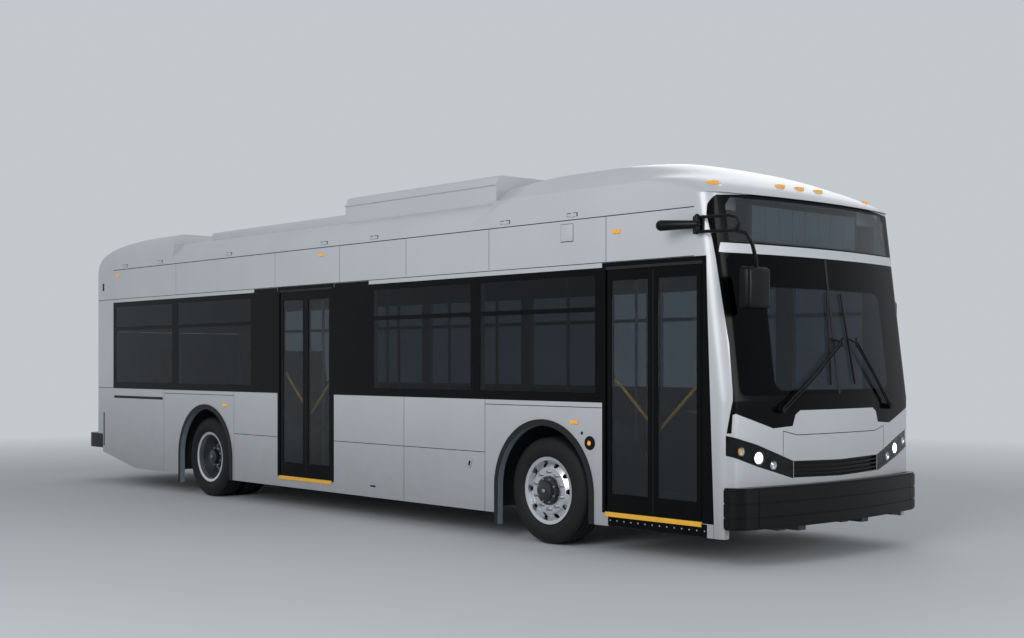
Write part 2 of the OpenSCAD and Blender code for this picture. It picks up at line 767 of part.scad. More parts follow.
// Slatted grille between the headlamps, with its back plate.
module grille() {
    color("#141517") {
        intersection() {
            upright_skin(7, 30);
            along_x(fx(nose_x) - 273, fx(nose_x) + 200) {
                difference() {
                    grille_2d(seat_gap);
                    grille_2d(11);
                }
                for (z = [722, 756, 790])
                    polygon([[-592, z], [0, z - 12.5], [592, z], [592, z + 13], [0, z + 0.5], [-592, z + 13]]);
            }
        }
        intersection() {
            upright_skin(34, 8);
            along_x(fx(nose_x) - 273, fx(nose_x) + 200)
                grille_2d(seat_gap);
        }
    }
}

TAIL_LAMPS = [820, 960, 1100];

module tail_lamp_set(o) {
    for (s = [-1, 1])
        for (z = TAIL_LAMPS)
            translate([fx(rear_face) + 115 + o, s * 1125, z])
                rotate([0, -90, 0])
                    cylinder(r = 55 + o, h = 53 + 100 * o);
    box(fx(rear_face) - 8 - 100 * o, fx(rear_face) + 30 + o, -180 - o, 180 + o, 2660 - o, 2705 + o);
}

module tail_lamps() {
    color("#b01c18")
    tail_lamp_set(0);
}

// Amber lamps on the side walls: [x, z]
SIDE_MARKS = [[cap_end + 133, 2791], [rear_portal[1] - 234, 2785], [front_portal[0] + 175, 2726],
              [-wheelbase + 480, 1121], [403, 1107]];
// Amber lamps on the brow: [y, z]
BROW_MARKS = [[-1065, dome_front_z + 98], [-270, dome_front_z + 128], [0, dome_front_z + 131],
              [270, dome_front_z + 128], [1065, dome_front_z + 98]];

// Front of the cap at y and z.
function cap_x(y, z) =
    let (w = cap_side(z), b = bow_r - max(0, z - dome_front_z) * 6,
         r = min(150 + max(0, z - dome_front_z) * 2.8, 0.6 * w), cx = cap_front(z) - b, u0 = w - r,
         v0 = cx + sqrt(pow(b - r, 2) - u0 * u0), a = abs(y))
    a <= b * sin(atan2(u0, v0 - cx)) ? cx + sqrt(b * b - a * a) : v0 + sqrt(r * r - pow(a - u0, 2));

module front_markers(o) {
    for (m = BROW_MARKS)
        translate([fx(cap_x(m[0], m[1])), m[0], m[1]])
            box(-60 - o, 20 + 100 * o, -40 - o, 40 + o, -15 - o, 15 + o);
}

module marker_lamps() {
    color("#e8871c") {
        for (s = [-1, 1]) {
            for (m = SIDE_MARKS)
                box(fx(m[0]) - 45, fx(m[0]) + 45, s > 0 ? half_w + seat_gap : -half_w - 14,
                    s > 0 ? half_w + 14 : -half_w - seat_gap, m[1] - 14, m[1] + 14);
            rod_y(fx(592), 933, 34, s > 0 ? half_w + seat_gap : -half_w - 12,
                  s > 0 ? half_w + 12 : -half_w - seat_gap);
        }
        front_markers(0);
    }
}

// Heights of the lower and the upper pane of each window.
PANES = [[clear_z0, transom_z], [transom_z + transom_h, clear_z1]];

module panes(w, side) {
    y0 = side > 0 ? half_w - glass_t : -half_w + 3;
    for (z = PANES)
        box(fx(w[2]) + seat_gap, fx(w[3]) - seat_gap, y0, y0 + glass_t - 3, z[0] + seat_gap, z[1] - seat_gap);
}

module side_glass() {
    color("#23292c", 0.65) {
        for (w = R_WINDOWS)
            panes(w, -1);
        for (w = L_WINDOWS)
            panes(w, 1);
        panes(DRIVER_WINDOW, 1);
    }
}

module window_frame(w, side) {
    y0 = side > 0 ? half_w - glass_t : -half_w;
    difference() {
        box(fx(w[0]), fx(w[1]), y0, y0 + glass_t, belt_z, window_top_z);
        for (z = PANES)
            box(fx(w[2]), fx(w[3]), y0 - 1, y0 + glass_t + 1, z[0], z[1]);
    }
}

// Black window frames, and the panels beside the rear doorway.
module pillar_panels() {
    color("#15171a") {
        for (p = PILLARS)
            box(fx(p[0]), fx(p[1]), -half_w, -half_w + glass_t, belt_z, door_top_z - 2);
        for (w = R_WINDOWS)
            window_frame(w, -1);
        for (w = L_WINDOWS)
            window_frame(w, 1);
        window_frame(DRIVER_WINDOW, 1);
    }
}

// Rubber edges of the wheel arches, each with a flap behind its wheel.
module arch_trims() {
    color("#1d1f22")
    for (s = [-1, 1])
        for (x = [axle_f, axle_r])
            along_y(s > 0 ? in_y + 10 : -half_w - 12, s > 0 ? half_w + 12 : -in_y - 10) {
                difference() {
                    intersection() {
                        arch_2d(x, arch_r - 0.5);
                        translate([x - arch_r - 100, skirt_z])
                            square([2 * arch_r + 200, 1200]);
                    }
                    arch_2d(x, arch_r - 55);
                }
                translate([x - arch_r + 0.5, skirt_z - 105])
                    square([50, 120]);
            }
}

// Frames of the two doorways, and the edge of the folded ramp under the front one.
module door_portals() {
    color("#17191b") {
        difference() {
            portal_frames();
            for (j = [front_jambs, rear_jambs])
                for (d = [-1, 1])
                    translate([fx(pivot_x(j, d)), leaf_y, door_top_z - 60])
                        cylinder(r = shaft_r + 0.05, h = 45);
        }
        box(fx(front_jambs[0]) + 30 + seat_gap, fx(front_jambs[1]) + 50 - seat_gap, -half_w, -half_w + ramp_t,
            skirt_z + 12, floor_z - 5 - seat_gap);
    }
}

module portal_frames() {
    along_y(-half_w, -in_y) {
        difference() {
            polygon([[fx(front_portal[0]) + 0.5, floor_z + 0.5], [fx(pillar_lo) - 1, floor_z + 0.5],
                     [fx(pillar_hi) - 1, door_top_z - 0.5], [fx(front_portal[0]) + 0.5, door_top_z - 0.5]]);
            translate([fx(front_jambs[0]), floor_z])
                square([front_jambs[1] - front_jambs[0], door_top_z - 35 - floor_z]);
        }
        difference() {
            translate([fx(rear_portal[0]) + 0.5, floor_z + 0.5])
                square([rear_portal[1] - rear_portal[0] - 1, door_top_z - floor_z - 1]);
            translate([fx(rear_jambs[0]), floor_z])
                square([rear_jambs[1] - rear_jambs[0], door_top_z - 35 - floor_z]);
        }
    }
}

module steps() {
    color("#e6b41c")
    for (j = [front_jambs, rear_jambs])
        box(fx(j[0]) + 1, fx(j[1]) - 1, -half_w - 6, -in_y - 1, floor_z + 0.5, floor_z + 9);
}

// Round bar bent through a list of points.
module bent_bar(points, r) {
    for (i = [0:len(points) - 2])
        hull()
            for (p = [points[i], points[i + 1]])
                translate(p)
                    sphere(r = r, $fn = 14);
}

// Foot of a mirror arm on the side s at x and z.
module mirror_foot(s, x, z) {
    box(fx(x) - 50, fx(x) + 50, s > 0 ? half_w + seat_gap : -half_w - 20,
        s > 0 ? half_w + 20 : -half_w - seat_gap, z - 70, z + 70);
}

// Rounded mirror head about a point.
module mirror_head(c, wide, tall) {
    hull()
        for (y = [-wide, wide], z = [-tall, tall])
            translate(c + [0, y, z]) {
                translate([20, 0, 0])
                    sphere(r = 36, $fn = 14);
                translate([-34, 0, 0])
                    rotate([0, 90, 0])
                        cylinder(r = 38, h = 24, $fn = 14);
            }
}

module mirror_right() {
    y = half_w + 45;
    root = [fx(nose_x - 415), -y, 2715];
    mirror_foot(-1, nose_x - 430, 2715);
    bent_bar([[root[0], -y, 2660], [root[0], -y, 2775]], 24);
    hull() {
        translate(root)
            sphere(r = 32, $fn = 14);
        translate([fx(nose_x - 690), -half_w - mirror_reach + 44, 2718])
            sphere(r = 44, $fn = 14);
    }
    bent_bar([[root[0], -y, 2772], [fx(nose_x - 90), -y + 4, 2762], [fx(nose_x - 25), -y + 6, 2740],
              [fx(nose_x - 5), -y + 8, 2690], [fx(nose_x - 25), -y + 8, 2650], [fx(nose_x - 70), -y + 6, 2642],
              [root[0], -y, 2658]], 13);
    bent_bar([[fx(nose_x - 40), -y + 8, 2645], [fx(nose_x + 30), -half_w + 5, 2620],
              [fx(nose_x + 50), -half_w + 55, 2540], [fx(nose_x + 45), -half_w + 110, 2420],
              [fx(nose_x + 25), -half_w + 135, 2300]], 16);
    mirror_head([fx(nose_x + 5), -half_w + 145, 2205], 108, 126);
}

module mirror_left() {
    head = [fx(nose_x - 440), half_w + mirror_reach - 92, 2010];
    for (z = [2330, 1700]) {
        mirror_foot(1, nose_x - 460, z);
        bent_bar([[fx(nose_x - 460), half_w + 32, z],
                  [fx(nose_x - 440), half_w + mirror_reach - 100, z - (z - head[2]) * 0.35], head], 14);
    }
    mirror_head(head, 54, 150);
}

module mirrors() {
    color("#141517") {
        mirror_right();
        mirror_left();
    }
}

// Point on the windscreen at y and z, off the glass by o.
function off_screen(y, z, o) = [fx(screen_face(y, z)) + o, y, z];

// Wipers, as places across the screen: [pivot, elbow, top of the blade, foot of the blade]
WIPERS = [[-770, 60, -45, -125], [770, 280, 155, 225]];
wiper_elbow_z = 1795;
blade_top_z = 2200;
blade_foot_z = 1450;

module wipers() {
    color("#101112")
    for (w = WIPERS) {
        pivot = [fx(nose_face(abs(w[0]) - 24)) + seat_gap, w[0], 1245];
        elbow = off_screen(w[1], wiper_elbow_z, 42);
        bar(pivot, pivot + [52, 0, 0], 24);
        for (d = [-16, 16])
            bent_bar([pivot + [40, 0, d], off_screen((w[0] + w[1]) / 2, 1520 + d, 42), elbow + [0, 0, d]], 8);
        bent_bar([elbow - [0, 0, 30], elbow + [0, 0, 30]], 10);
        bent_bar([elbow, off_screen((w[2] + w[3]) / 2, (blade_top_z + blade_foot_z) / 2, 22)], 9);
        bent_bar([off_screen(w[2], blade_top_z, 16), off_screen(w[3], blade_foot_z, 16)], 9);
    }
}

module floor_deck() {
    color("#5a5d60")
    difference() {
        along_y(-in_y + seat_gap, in_y - seat_gap)
            polygon([[fx(cap_end) + 10, deck_z - 60], [fx(deck_x), deck_z - 60], [fx(deck_x), floor_z - 60],
                     [fx(pillar_lo) - 54, floor_z - 60], [fx(pillar_lo) - 54, floor_z], [fx(deck_x) + 60, floor_z],
                     [fx(deck_x) + 60, deck_z], [fx(cap_end) + 10, deck_z]]);
        for (x = [axle_f, axle_r])
            for (s = [-1, 1])
                box(x - well_r - 4, x + well_r + 4, s > 0 ? 580 : -2000, s > 0 ? 2000 : -580, 0, 1300);
    }
}

module underframe() {
    rail = [deck_x + 100, -arch_r - 120];
    color("#2b2d30") {
        for (s = [-1, 1]) {
            box(fx(rail[0]), fx(rail[1]), s * 700 - 50, s * 700 + 50, skirt_z, floor_z - 60.5);
            box(fx(arch_r + 60), fx(tow_x), s * 450 - 50, s * 450 + 50, skirt_z, floor_z - 60.5);
        }
        for (i = [0:5])
            translate([fx(rail[0] + 160 + i * (rail[1] - rail[0] - 300) / 5), 0, 0])
                box(0, 80, -649, 649, skirt_z + 5, floor_z - 60.5);
    }
}

module wheelhouses() {
    color("#3a3d40")
    for (x = [axle_f, axle_r])
        for (s = [-1, 1])
            difference() {
                along_y(s > 0 ? 585 : -in_y + seat_gap, s > 0 ? in_y - seat_gap : -585)
                    intersection() {
                        arch_2d(x, well_r);
                        translate([x - well_r - 32, floor_z - 60])
                            square([2 * well_r + 64, 1000]);
                    }
                along_y(s > 0 ? 600 : -2000, s > 0 ? 2000 : -600)
                    arch_2d(x, well_r - 20);
                box(axle_r - 130, axle_r + 130, -700, 700, 0, tyre_r + 130);
            }
}

module front_axle() {
    color("#26282b")
    difference() {
        union() {
            box(axle_f - 45, axle_f + 45, -800, 800, 150, 230);
            for (s = [-1, 1]) {
                box(axle_f - 45, axle_f + 45, s > 0 ? 740 : -800, s > 0 ? 800 : -740, 150, 530);
                box(axle_f - 40, axle_f + 40, s > 0 ? 760 : -king_y, s > 0 ? king_y : -760, 430, 530);
                translate([axle_f, s * king_y, 430])
                    cylinder(r = 42, h = 100);
                for (x = [-160, 160])
                    translate([axle_f + x, s * 420, 150])
                        cylinder(r = 85, h = floor_z - 60.5 - 150);
                box(axle_f - 200, axle_f + 200, s * 420 - 45, s * 420 + 45, 150, 200);
            }
        }
        for (s = [-1, 1])
            translate([axle_f, s * king_y, 0])
                cylinder(r = 18.05, h = 1000);
    }
}

module rear_axle() {
    color("#26282b") {
        rod_y(axle_r, tyre_r, 105, -600, 600);
        rod_y(axle_r, tyre_r, rear_spindle_r, -1190, 1190);
        translate([axle_r, 0, tyre_r])
            sphere(r = 200);
        for (s = [-1, 1]) {
            box(axle_r - 380, axle_r + 380, s * 450 - 50, s * 450 + 50, tyre_r - 90, tyre_r - 20);
            for (x = [-330, 330])
                translate([axle_r + x, s * 450, tyre_r - 30])
                    cylinder(r = 100, h = deck_z - 60.5 - tyre_r + 30);
        }
    }
}

module battery_block() {
    color("#44484c")
    box(fx(cap_end) + 110, axle_r - 950, -1000, 1000, 420, deck_z - 60.5);
}

// Seat pairs: rows along each side, a pitch apart, as many as the floor has room for.
seat_pitch = 790;
LEFT_ROWS = floor((wheelbase - 2700) / seat_pitch);
RIGHT_ROWS = floor((-rear_portal[1] - 2160) / seat_pitch);
DECK_ROWS = max(0, floor((-wheelbase - 1410 - cap_end) / seat_pitch));

// One moulded seat shell in side view.
module seat_2d(x, z) {
    polygon([[x + 215, z + 420], [x + 226, z + 438], [x + 205, z + 455], [x - 120, z + 440], [x - 172, z + 458],
             [x - 205, z + 520], [x - 284, z + 955], [x - 296, z + 985], [x - 314, z + 984], [x - 320, z + 958],
             [x - 246, z + 500], [x - 216, z + 428], [x - 160, z + 405]]);
}

module seat_pair(x, y, z) {
    for (d = [-1, 1])
        along_y(y + d * 217 - 207, y + d * 217 + 207)
            seat_2d(fx(x), z);
    box(fx(x) - 60, fx(x) + 60, y - 410, y + 410, z + 372, z + 414);
    box(fx(x) - 40, fx(x) + 40, y - 60, y + 60, z + seat_gap, z + 380);
}

module seats() {
    color("#3c5a78") {
        for (i = [0:LEFT_ROWS])
            seat_pair(-1300 - i * seat_pitch, 790, floor_z);
        for (i = [0:RIGHT_ROWS])
            seat_pair(-1560 - i * seat_pitch, -790, floor_z);
        for (i = [0:DECK_ROWS])
            for (s = [-1, 1])
                seat_pair(-wheelbase - 850 - i * seat_pitch, s * 790, deck_z);
    }
}

module driver_seat() {
    x = fx(nose_x - 1475);
    z = floor_z;
    color("#2b2e33") {
        box(x, x + 480, 420, 880, z + 430, z + 520);
        along_y(420, 880)
            polygon([[x, z + 520], [x + 90, z + 520], [x, z + 1200], [x - 70, z + 1200]]);
        box(x + 100, x + 380, 520, 780, z + seat_gap, z + 430);
    }
}

module dashboard() {
    x = fx(nose_x);
    color("#2a2c2f")
    difference() {
        along_y(-500, 1080)
            polygon([[x - 595, floor_z + seat_gap], [x - 345, floor_z + seat_gap], [x - 205, 1000], [x - 205, 1290],
                     [x - 435, 1290], [x - 635, 1100], [x - 635, 900]]);
        column_place()
            translate([0, 0, -600])
                cylinder(r = 28 + seat_gap, h = 600);
    }
}

module column_place() {
    translate([fx(nose_x - 835), 650, 1160])
        rotate([0, -30, 0])
            children();
}

module steering_wheel() {
    color("#141517")
    column_place() {
            rotate_extrude()
                translate([215, 0])
                    circle(16);
            for (a = [30, 150, 270])
                rotate(a)
                    translate([30, -14, -10])
                        cube([175, 28, 16]);
            translate([0, 0, -30])
                cylinder(r = 45, h = 40);
            translate([0, 0, -480])
                cylinder(r = 28, h = 470);
    }
}

// Grab poles: [x, y]
POLES = [[front_portal[0] - 135, -560], [-arch_r + 140, 480], [-arch_r + 140, -480], [rear_portal[1] + 780, 340],
         [rear_portal[1] + 780, -340], [rear_portal[1] + 180, -560], [rear_portal[0] - 164, -560],
         [rear_portal[0] - 114, 340]];

module stanchions() {
    color("#e0b020") {
        for (p = POLES)
            translate([fx(p[0]), p[1], floor_z + 0.3])
                cylinder(r = 17, h = (p[0] > cap_end_x ? cap_in_z : roof_at - wall_t) - floor_z - 0.6);
    }
}

module tow_eyes() {
    color("#33363a")
    for (s = [-1, 1])
        difference() {
            box(fx(tow_x), fx(tow_x) + 200, s * 450 - 50, s * 450 + 50, 260, 300);
            translate([fx(tow_x) + 150, s * 450, 200])
                cylinder(r = 20, h = 200);
        }
}

module knuckle(s) {
    translate([axle_f, s * king_y, 0]) {
        translate([0, 0, 390])
            cylinder(r = 18, h = 180);
        for (z = [392, 534])
            translate([0, 0, z]) {
                cylinder(r = 45, h = 34);
                box(-35, 35, s > 0 ? 0 : -80, s > 0 ? 80 : 0, 0, 34);
            }
        box(-45, 45, s > 0 ? 55 : -85, s > 0 ? 85 : -55, 392, 568);
    }
    rod_y(axle_f, tyre_r, spindle_r, s > 0 ? king_y + 70 : -king_y - 300, s > 0 ? king_y + 300 : -king_y - 70);
}

module knuckle_right() {
    color("#303236")
    knuckle(-1);
}

module knuckle_left() {
    color("#303236")
    knuckle(1);
}

// Half section of a tyre on one side of its middle: [radius, from the wall face inwards]
TYRE_EDGE = [[rim_r - 16 + seat_gap, 44], [rim_r + 1.5, 30], [rim_r + 10, 22], [tyre_r - 124, 4], [tyre_r - 100, 0],
             [tyre_r - 56, 7], [tyre_r - 28, 18], [tyre_r - 12, 30], [tyre_r - 4, 46]];
TREAD_GROOVES = [-82, -28, 28, 82];
groove_w = 11;

// Tyre about the Y axis with its middle at y.
module tyre(x, y) {
    h = tyre_w / 2;
    n = len(TYRE_EDGE);
    translate([x, y, tyre_r])
        rotate([-90, 0, 0])
            rotate_extrude($fn = 72)
                difference() {
                    polygon(concat([for (e = TYRE_EDGE) [e[0], e[1] - h]], [[tyre_r, 0]],
                                   [for (i = [n - 1:-1:0]) [TYRE_EDGE[i][0], h - TYRE_EDGE[i][1]]]));
                    for (v = TREAD_GROOVES)
                        translate([tyre_r - 12, v - groove_w / 2])
                            square([30, groove_w]);
                }
}

// Wheel bolts and hand holes: how many, bolt circle, nut radius, hole radius; and the radius of the hub
bolts = 10;
bolt_r = 168;
nut_r = 15;
hole_r = 25;
hub_r = 132;

// Disc wheel about the Y axis on the side s: its disc face set off from the middle, its hub standing out of it.
module rim(x, y, s, face, bore, hub) {
    h = tyre_w / 2 - 26;
    translate([x, y, tyre_r])
        rotate([s > 0 ? -90 : 90, 0, 0])
            difference() {
                union() {
                    rotate_extrude($fn = 72)
                        polygon([[bore, face - 24], [rim_r - 102, face - 24], [rim_r - 82, face - 38],
                                 [rim_r - 50, face - 62], [rim_r - 40, -h], [rim_r, -h - 6], [rim_r, -h + 4],
                                 [rim_r - 16, -h + 16], [rim_r - 16, h - 16], [rim_r, h - 4], [rim_r, h + 6],
                                 [rim_r - 32, h], [rim_r - 44, face - 44], [rim_r - 78, face - 14], [rim_r - 96, face],
                                 [hub_r, face], [hub_r - 8, face + 0.6 * hub], [hub_r - 40, face + 0.7 * hub],
                                 [hub_r - 46, face + hub], [bore, face + hub]]);
                    for (i = [0:bolts - 1])
                        rotate((i + 0.5) * 360 / bolts)
                            translate([bolt_r, 0, face - 1])
                                cylinder(r = nut_r, h = 27);
                }
                for (i = [0:bolts - 1])
                    rotate(i * 360 / bolts)
                        translate([rim_r - 66, 0, -300])
                            cylinder(r = hole_r, h = 600);
            }
}

module tyre_front_right() {
    color("#17181a")
    tyre(axle_f, -wheel_f_y);
}

module tyre_front_left() {
    color("#17181a")
    tyre(axle_f, wheel_f_y);
}

module rim_front_right() {
    color("#b9bdc0")
    rim(axle_f, -wheel_f_y, -1, 110, spindle_r + run_gap, 50);
}

module rim_front_left() {
    color("#b9bdc0")
    rim(axle_f, wheel_f_y, 1, 110, spindle_r + run_gap, 50);
}

module tyres_rear(s) {
    tyre(axle_r, s * wheel_f_y);
    tyre(axle_r, s * (wheel_f_y - dual_pitch));
}

module rims_rear(s) {
    rim(axle_r, s * wheel_f_y, s, -60, rear_spindle_r + run_gap, 140);
    rim(axle_r, s * (wheel_f_y - dual_pitch), s, 90, rear_spindle_r + run_gap, 20);
}

module tyres_rear_right() {
    color("#17181a")
    tyres_rear(-1);
}

module tyres_rear_left() {
    color("#17181a")
    tyres_rear(1);
}

module rims_rear_right() {
    color("#a9adb0")
    rims_rear(-1);
}

module rims_rear_left() {
    color("#a9adb0")
    rims_rear(1);
}

// Doorway layout: leaf width, pivots and arm length for the jambs j.
function leaf_w(j) = (j[1] - j[0] - 2 * leaf_gap - meet_gap) / 2;
function arm_len(j) = (leaf_w(j) - pivot_in) / 2;
function pivot_x(j, d) = d > 0 ? j[0] + leaf_gap + pivot_in : j[1] - leaf_gap - pivot_in;

// Leaf edges in X for the jambs j; d is +1 for the rear leaf and -1 for the front one.
function leaf_x0(j, d) = d > 0 ? j[0] + leaf_gap : j[1] - leaf_gap - leaf_w(j);

module leaf(j, d) {
    x0 = fx(leaf_x0(j, d));
    x1 = x0 + leaf_w(j);
    xm = fx(pivot_x(j, d)) + d * arm_len(j);
    hinge_side = d > 0 ? x0 : x1;
    difference() {
        box(x0, x1, leaf_y - leaf_t / 2, leaf_y + leaf_t / 2, leaf_z0, leaf_z1);
        box(x0 + 50, x1 - 50, leaf_y - leaf_t, leaf_y + leaf_t, leaf_z0 + 150, leaf_z1 - 90);
        translate([xm, leaf_y, leaf_z1 - 40])
            cylinder(r = shaft_r + 0.05, h = 60);
    }
    top = [hinge_side + d * 25, leaf_y, 1500];
    low = [hinge_side + d * (leaf_w(j) - 25), leaf_y, 1080];
    out = [0, 48, 0];
    run = (low - top) / norm(low - top);
    bar(top + out - run * 20, low + out + run * 20, 13);
    bar(top + [0, 10, 0], top + out, 8);
    bar(low + [0, 10, 0], low + out, 8);
}

module leaf_glass(j, d) {
    x0 = fx(leaf_x0(j, d));
    x1 = x0 + leaf_w(j);
    box(x0 + 50.5, x1 - 50.5, leaf_y - 12, leaf_y - 4, leaf_z0 + 150.5, leaf_z1 - 90.5);
}

// Swing arm over a leaf: a shaft up into the portal head and a pin down into the leaf.
module door_arm(j, d) {
    p = fx(pivot_x(j, d));
    a = arm_len(j);
    box(min(p, p + d * a), max(p, p + d * a), leaf_y - 14, leaf_y + 14, arm_z0, arm_z0 + arm_t);
    for (x = [p, p + d * a])
        translate([x, leaf_y, arm_z0])
            cylinder(r = 14, h = arm_t);
    translate([p, leaf_y, arm_z0])
        cylinder(r = shaft_r, h = 40);
    translate([p + d * a, leaf_y, arm_z0 - 40])
        cylinder(r = shaft_r, h = 45);
}

module door_arm_a() {
    color("#3a3d40")
    door_arm(front_jambs, 1);
}

module door_arm_b() {
    color("#3a3d40")
    door_arm(front_jambs, -1);
}

module door_arm_c() {
    color("#3a3d40")
    door_arm(rear_jambs, 1);
}

module door_arm_d() {
    color("#3a3d40")
    door_arm(rear_jambs, -1);
}

module leaf_a() {
    color("#1b1d20")
    leaf(front_jambs, 1);
}

module leaf_b() {
    color("#1b1d20")
    leaf(front_jambs, -1);
}

module leaf_c() {
    color("#1b1d20")
    leaf(rear_jambs, 1);
}

module leaf_d() {
    color("#1b1d20")
    leaf(rear_jambs, -1);
}

module leaf_glass_a() {
    color("#23292c", 0.6)
    leaf_glass(front_jambs, 1);
}

module leaf_glass_b() {
    color("#23292c", 0.6)
    leaf_glass(front_jambs, -1);
}

module leaf_glass_c() {
    color("#23292c", 0.6)
    leaf_glass(rear_jambs, 1);
}

module leaf_glass_d() {
    color("#23292c", 0.6)
    leaf_glass(rear_jambs, -1);
}

wall_right();
wall_left();
roof_panel();
front_cap();
rear_hump();
low_roof_box();
high_roof_box();
nose_panel();
screen_frame();
windscreen();
sign_glass();
rear_cap();
rear_hatch();
front_bumper();
rear_bumper();
headlamps();
tail_lamps();
marker_lamps();
side_glass();
pillar_panels();
arch_trims();
door_portals();
steps();
mirrors();
wipers();
floor_deck();
underframe();
wheelhouses();
front_axle();
rear_axle();
battery_block();
seats();
driver_seat();
dashboard();
steering_wheel();
stanchions();
tow_eyes();
knuckle_right();
knuckle_left();
tyre_front_right();
rim_front_right();
tyre_front_left();
rim_front_left();
tyres_rear_right();
rims_rear_right();
tyres_rear_left();
rims_rear_left();
door_arm_a();
door_arm_b();
door_arm_c();
door_arm_d();
leaf_a();
leaf_b();
leaf_c();
leaf_d();
leaf_glass_a();
leaf_glass_b();
leaf_glass_c();
leaf_glass_d();
grille();
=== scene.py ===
import json
import math

import bmesh
import bpy
from mathutils import Matrix, Vector
from mathutils.bvhtree import BVHTree


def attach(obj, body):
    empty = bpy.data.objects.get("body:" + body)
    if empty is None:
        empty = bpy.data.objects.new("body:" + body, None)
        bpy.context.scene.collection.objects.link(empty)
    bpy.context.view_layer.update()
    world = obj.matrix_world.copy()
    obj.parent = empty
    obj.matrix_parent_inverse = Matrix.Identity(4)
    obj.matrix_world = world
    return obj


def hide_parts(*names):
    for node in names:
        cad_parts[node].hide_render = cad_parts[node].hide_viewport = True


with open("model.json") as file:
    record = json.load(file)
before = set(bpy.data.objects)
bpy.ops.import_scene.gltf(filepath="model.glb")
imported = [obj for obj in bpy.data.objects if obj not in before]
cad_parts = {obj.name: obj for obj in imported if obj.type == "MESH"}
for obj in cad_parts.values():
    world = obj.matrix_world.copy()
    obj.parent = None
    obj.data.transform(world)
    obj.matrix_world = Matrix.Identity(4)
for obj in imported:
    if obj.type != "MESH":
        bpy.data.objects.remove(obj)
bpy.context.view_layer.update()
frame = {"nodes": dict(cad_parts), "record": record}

MM = 0.001
METRE = 1000.0
# Ways that pieces face
UP = Vector((0, 0, 1))
FORWARD = Vector((1, 0, 0))
REARWARD = Vector((-1, 0, 0))
DOORWARD = Vector((0, -1, 0))
# Each hand of the bus and the sign of its Y
HANDS = (("right", -1), ("left", 1))
# Hubs of the front and rear wheels, in metres
AXLE_F = (3.505, 0.0, 0.48)
AXLE_R = (-2.445, 0.0, 0.48)
# Sizes of the body that pieces sit on, in millimetres; lengths count from the front axle
HALF_WIDTH = 1295.0
NOSE = 2235.0
NOSE_BOW = 5900.0
CORNER = 130.0
COWL_TOP = 1320.0
RAKE = math.tan(math.radians(7.4))
DOORWAYS = ((776, 1834), (-4295, -3271))


# Camera, floor and light

def add_object(name, data):
    """A new object at the origin of the scene."""
    made = bpy.data.objects.new(name, data)
    bpy.context.scene.collection.objects.link(made)
    return made


def make_camera():
    """The view from the front corner of the door side, at eye height."""
    eye = bpy.data.cameras.new("camera")
    eye.lens = 47.99
    eye.sensor_width = 36.0
    eye.shift_y = 0.043
    eye.clip_end = 400.0
    holder = add_object("camera", eye)
    holder.location = (12.328, -9.664, 1.62)
    holder.rotation_euler = (math.radians(90.0), 0.0, math.radians(47.793))
    bpy.context.scene.camera = holder


def linear(code):
    """sRGB hex to a linear colour."""
    parts = [int(code[i:i + 2], 16) / 255.0 for i in (1, 3, 5)]
    return tuple(p / 12.92 if p <= 0.04045 else ((p + 0.055) / 1.055) ** 2.4 for p in parts) + (1.0,)


def put(tree, kind, settings=None, inputs=None):
    """Adds one shader node; an input takes a value, an output, or a node for its first output in use."""
    made = tree.nodes.new(kind)
    for key, value in (settings or {}).items():
        setattr(made, key, value)
    for key, value in (inputs or {}).items():
        if isinstance(value, bpy.types.Node):
            value = next(socket for socket in value.outputs if socket.enabled)
        if isinstance(value, bpy.types.NodeSocket):
            tree.links.new(value, made.inputs[key])
        else:
            made.inputs[key].default_value = value
    return made


def start_finish(name):
    """A new material, its empty tree and its object coordinates."""
    made = bpy.data.materials.new(name)
    made.use_nodes = True
    tree = made.node_tree
    tree.nodes.clear()
    return made, tree, put(tree, "ShaderNodeTexCoord").outputs["Object"]


def end_finish(made, inputs):
    """Closes a material with its shader."""
    shader = put(made.node_tree, "ShaderNodeBsdfPrincipled", inputs=inputs)
    put(made.node_tree, "ShaderNodeOutputMaterial", inputs={"Surface": shader})
    return made


# A mix of two colours: its setting and its sockets
RGBA = {"data_type": "RGBA"}
FIRST, SECOND = 6, 7


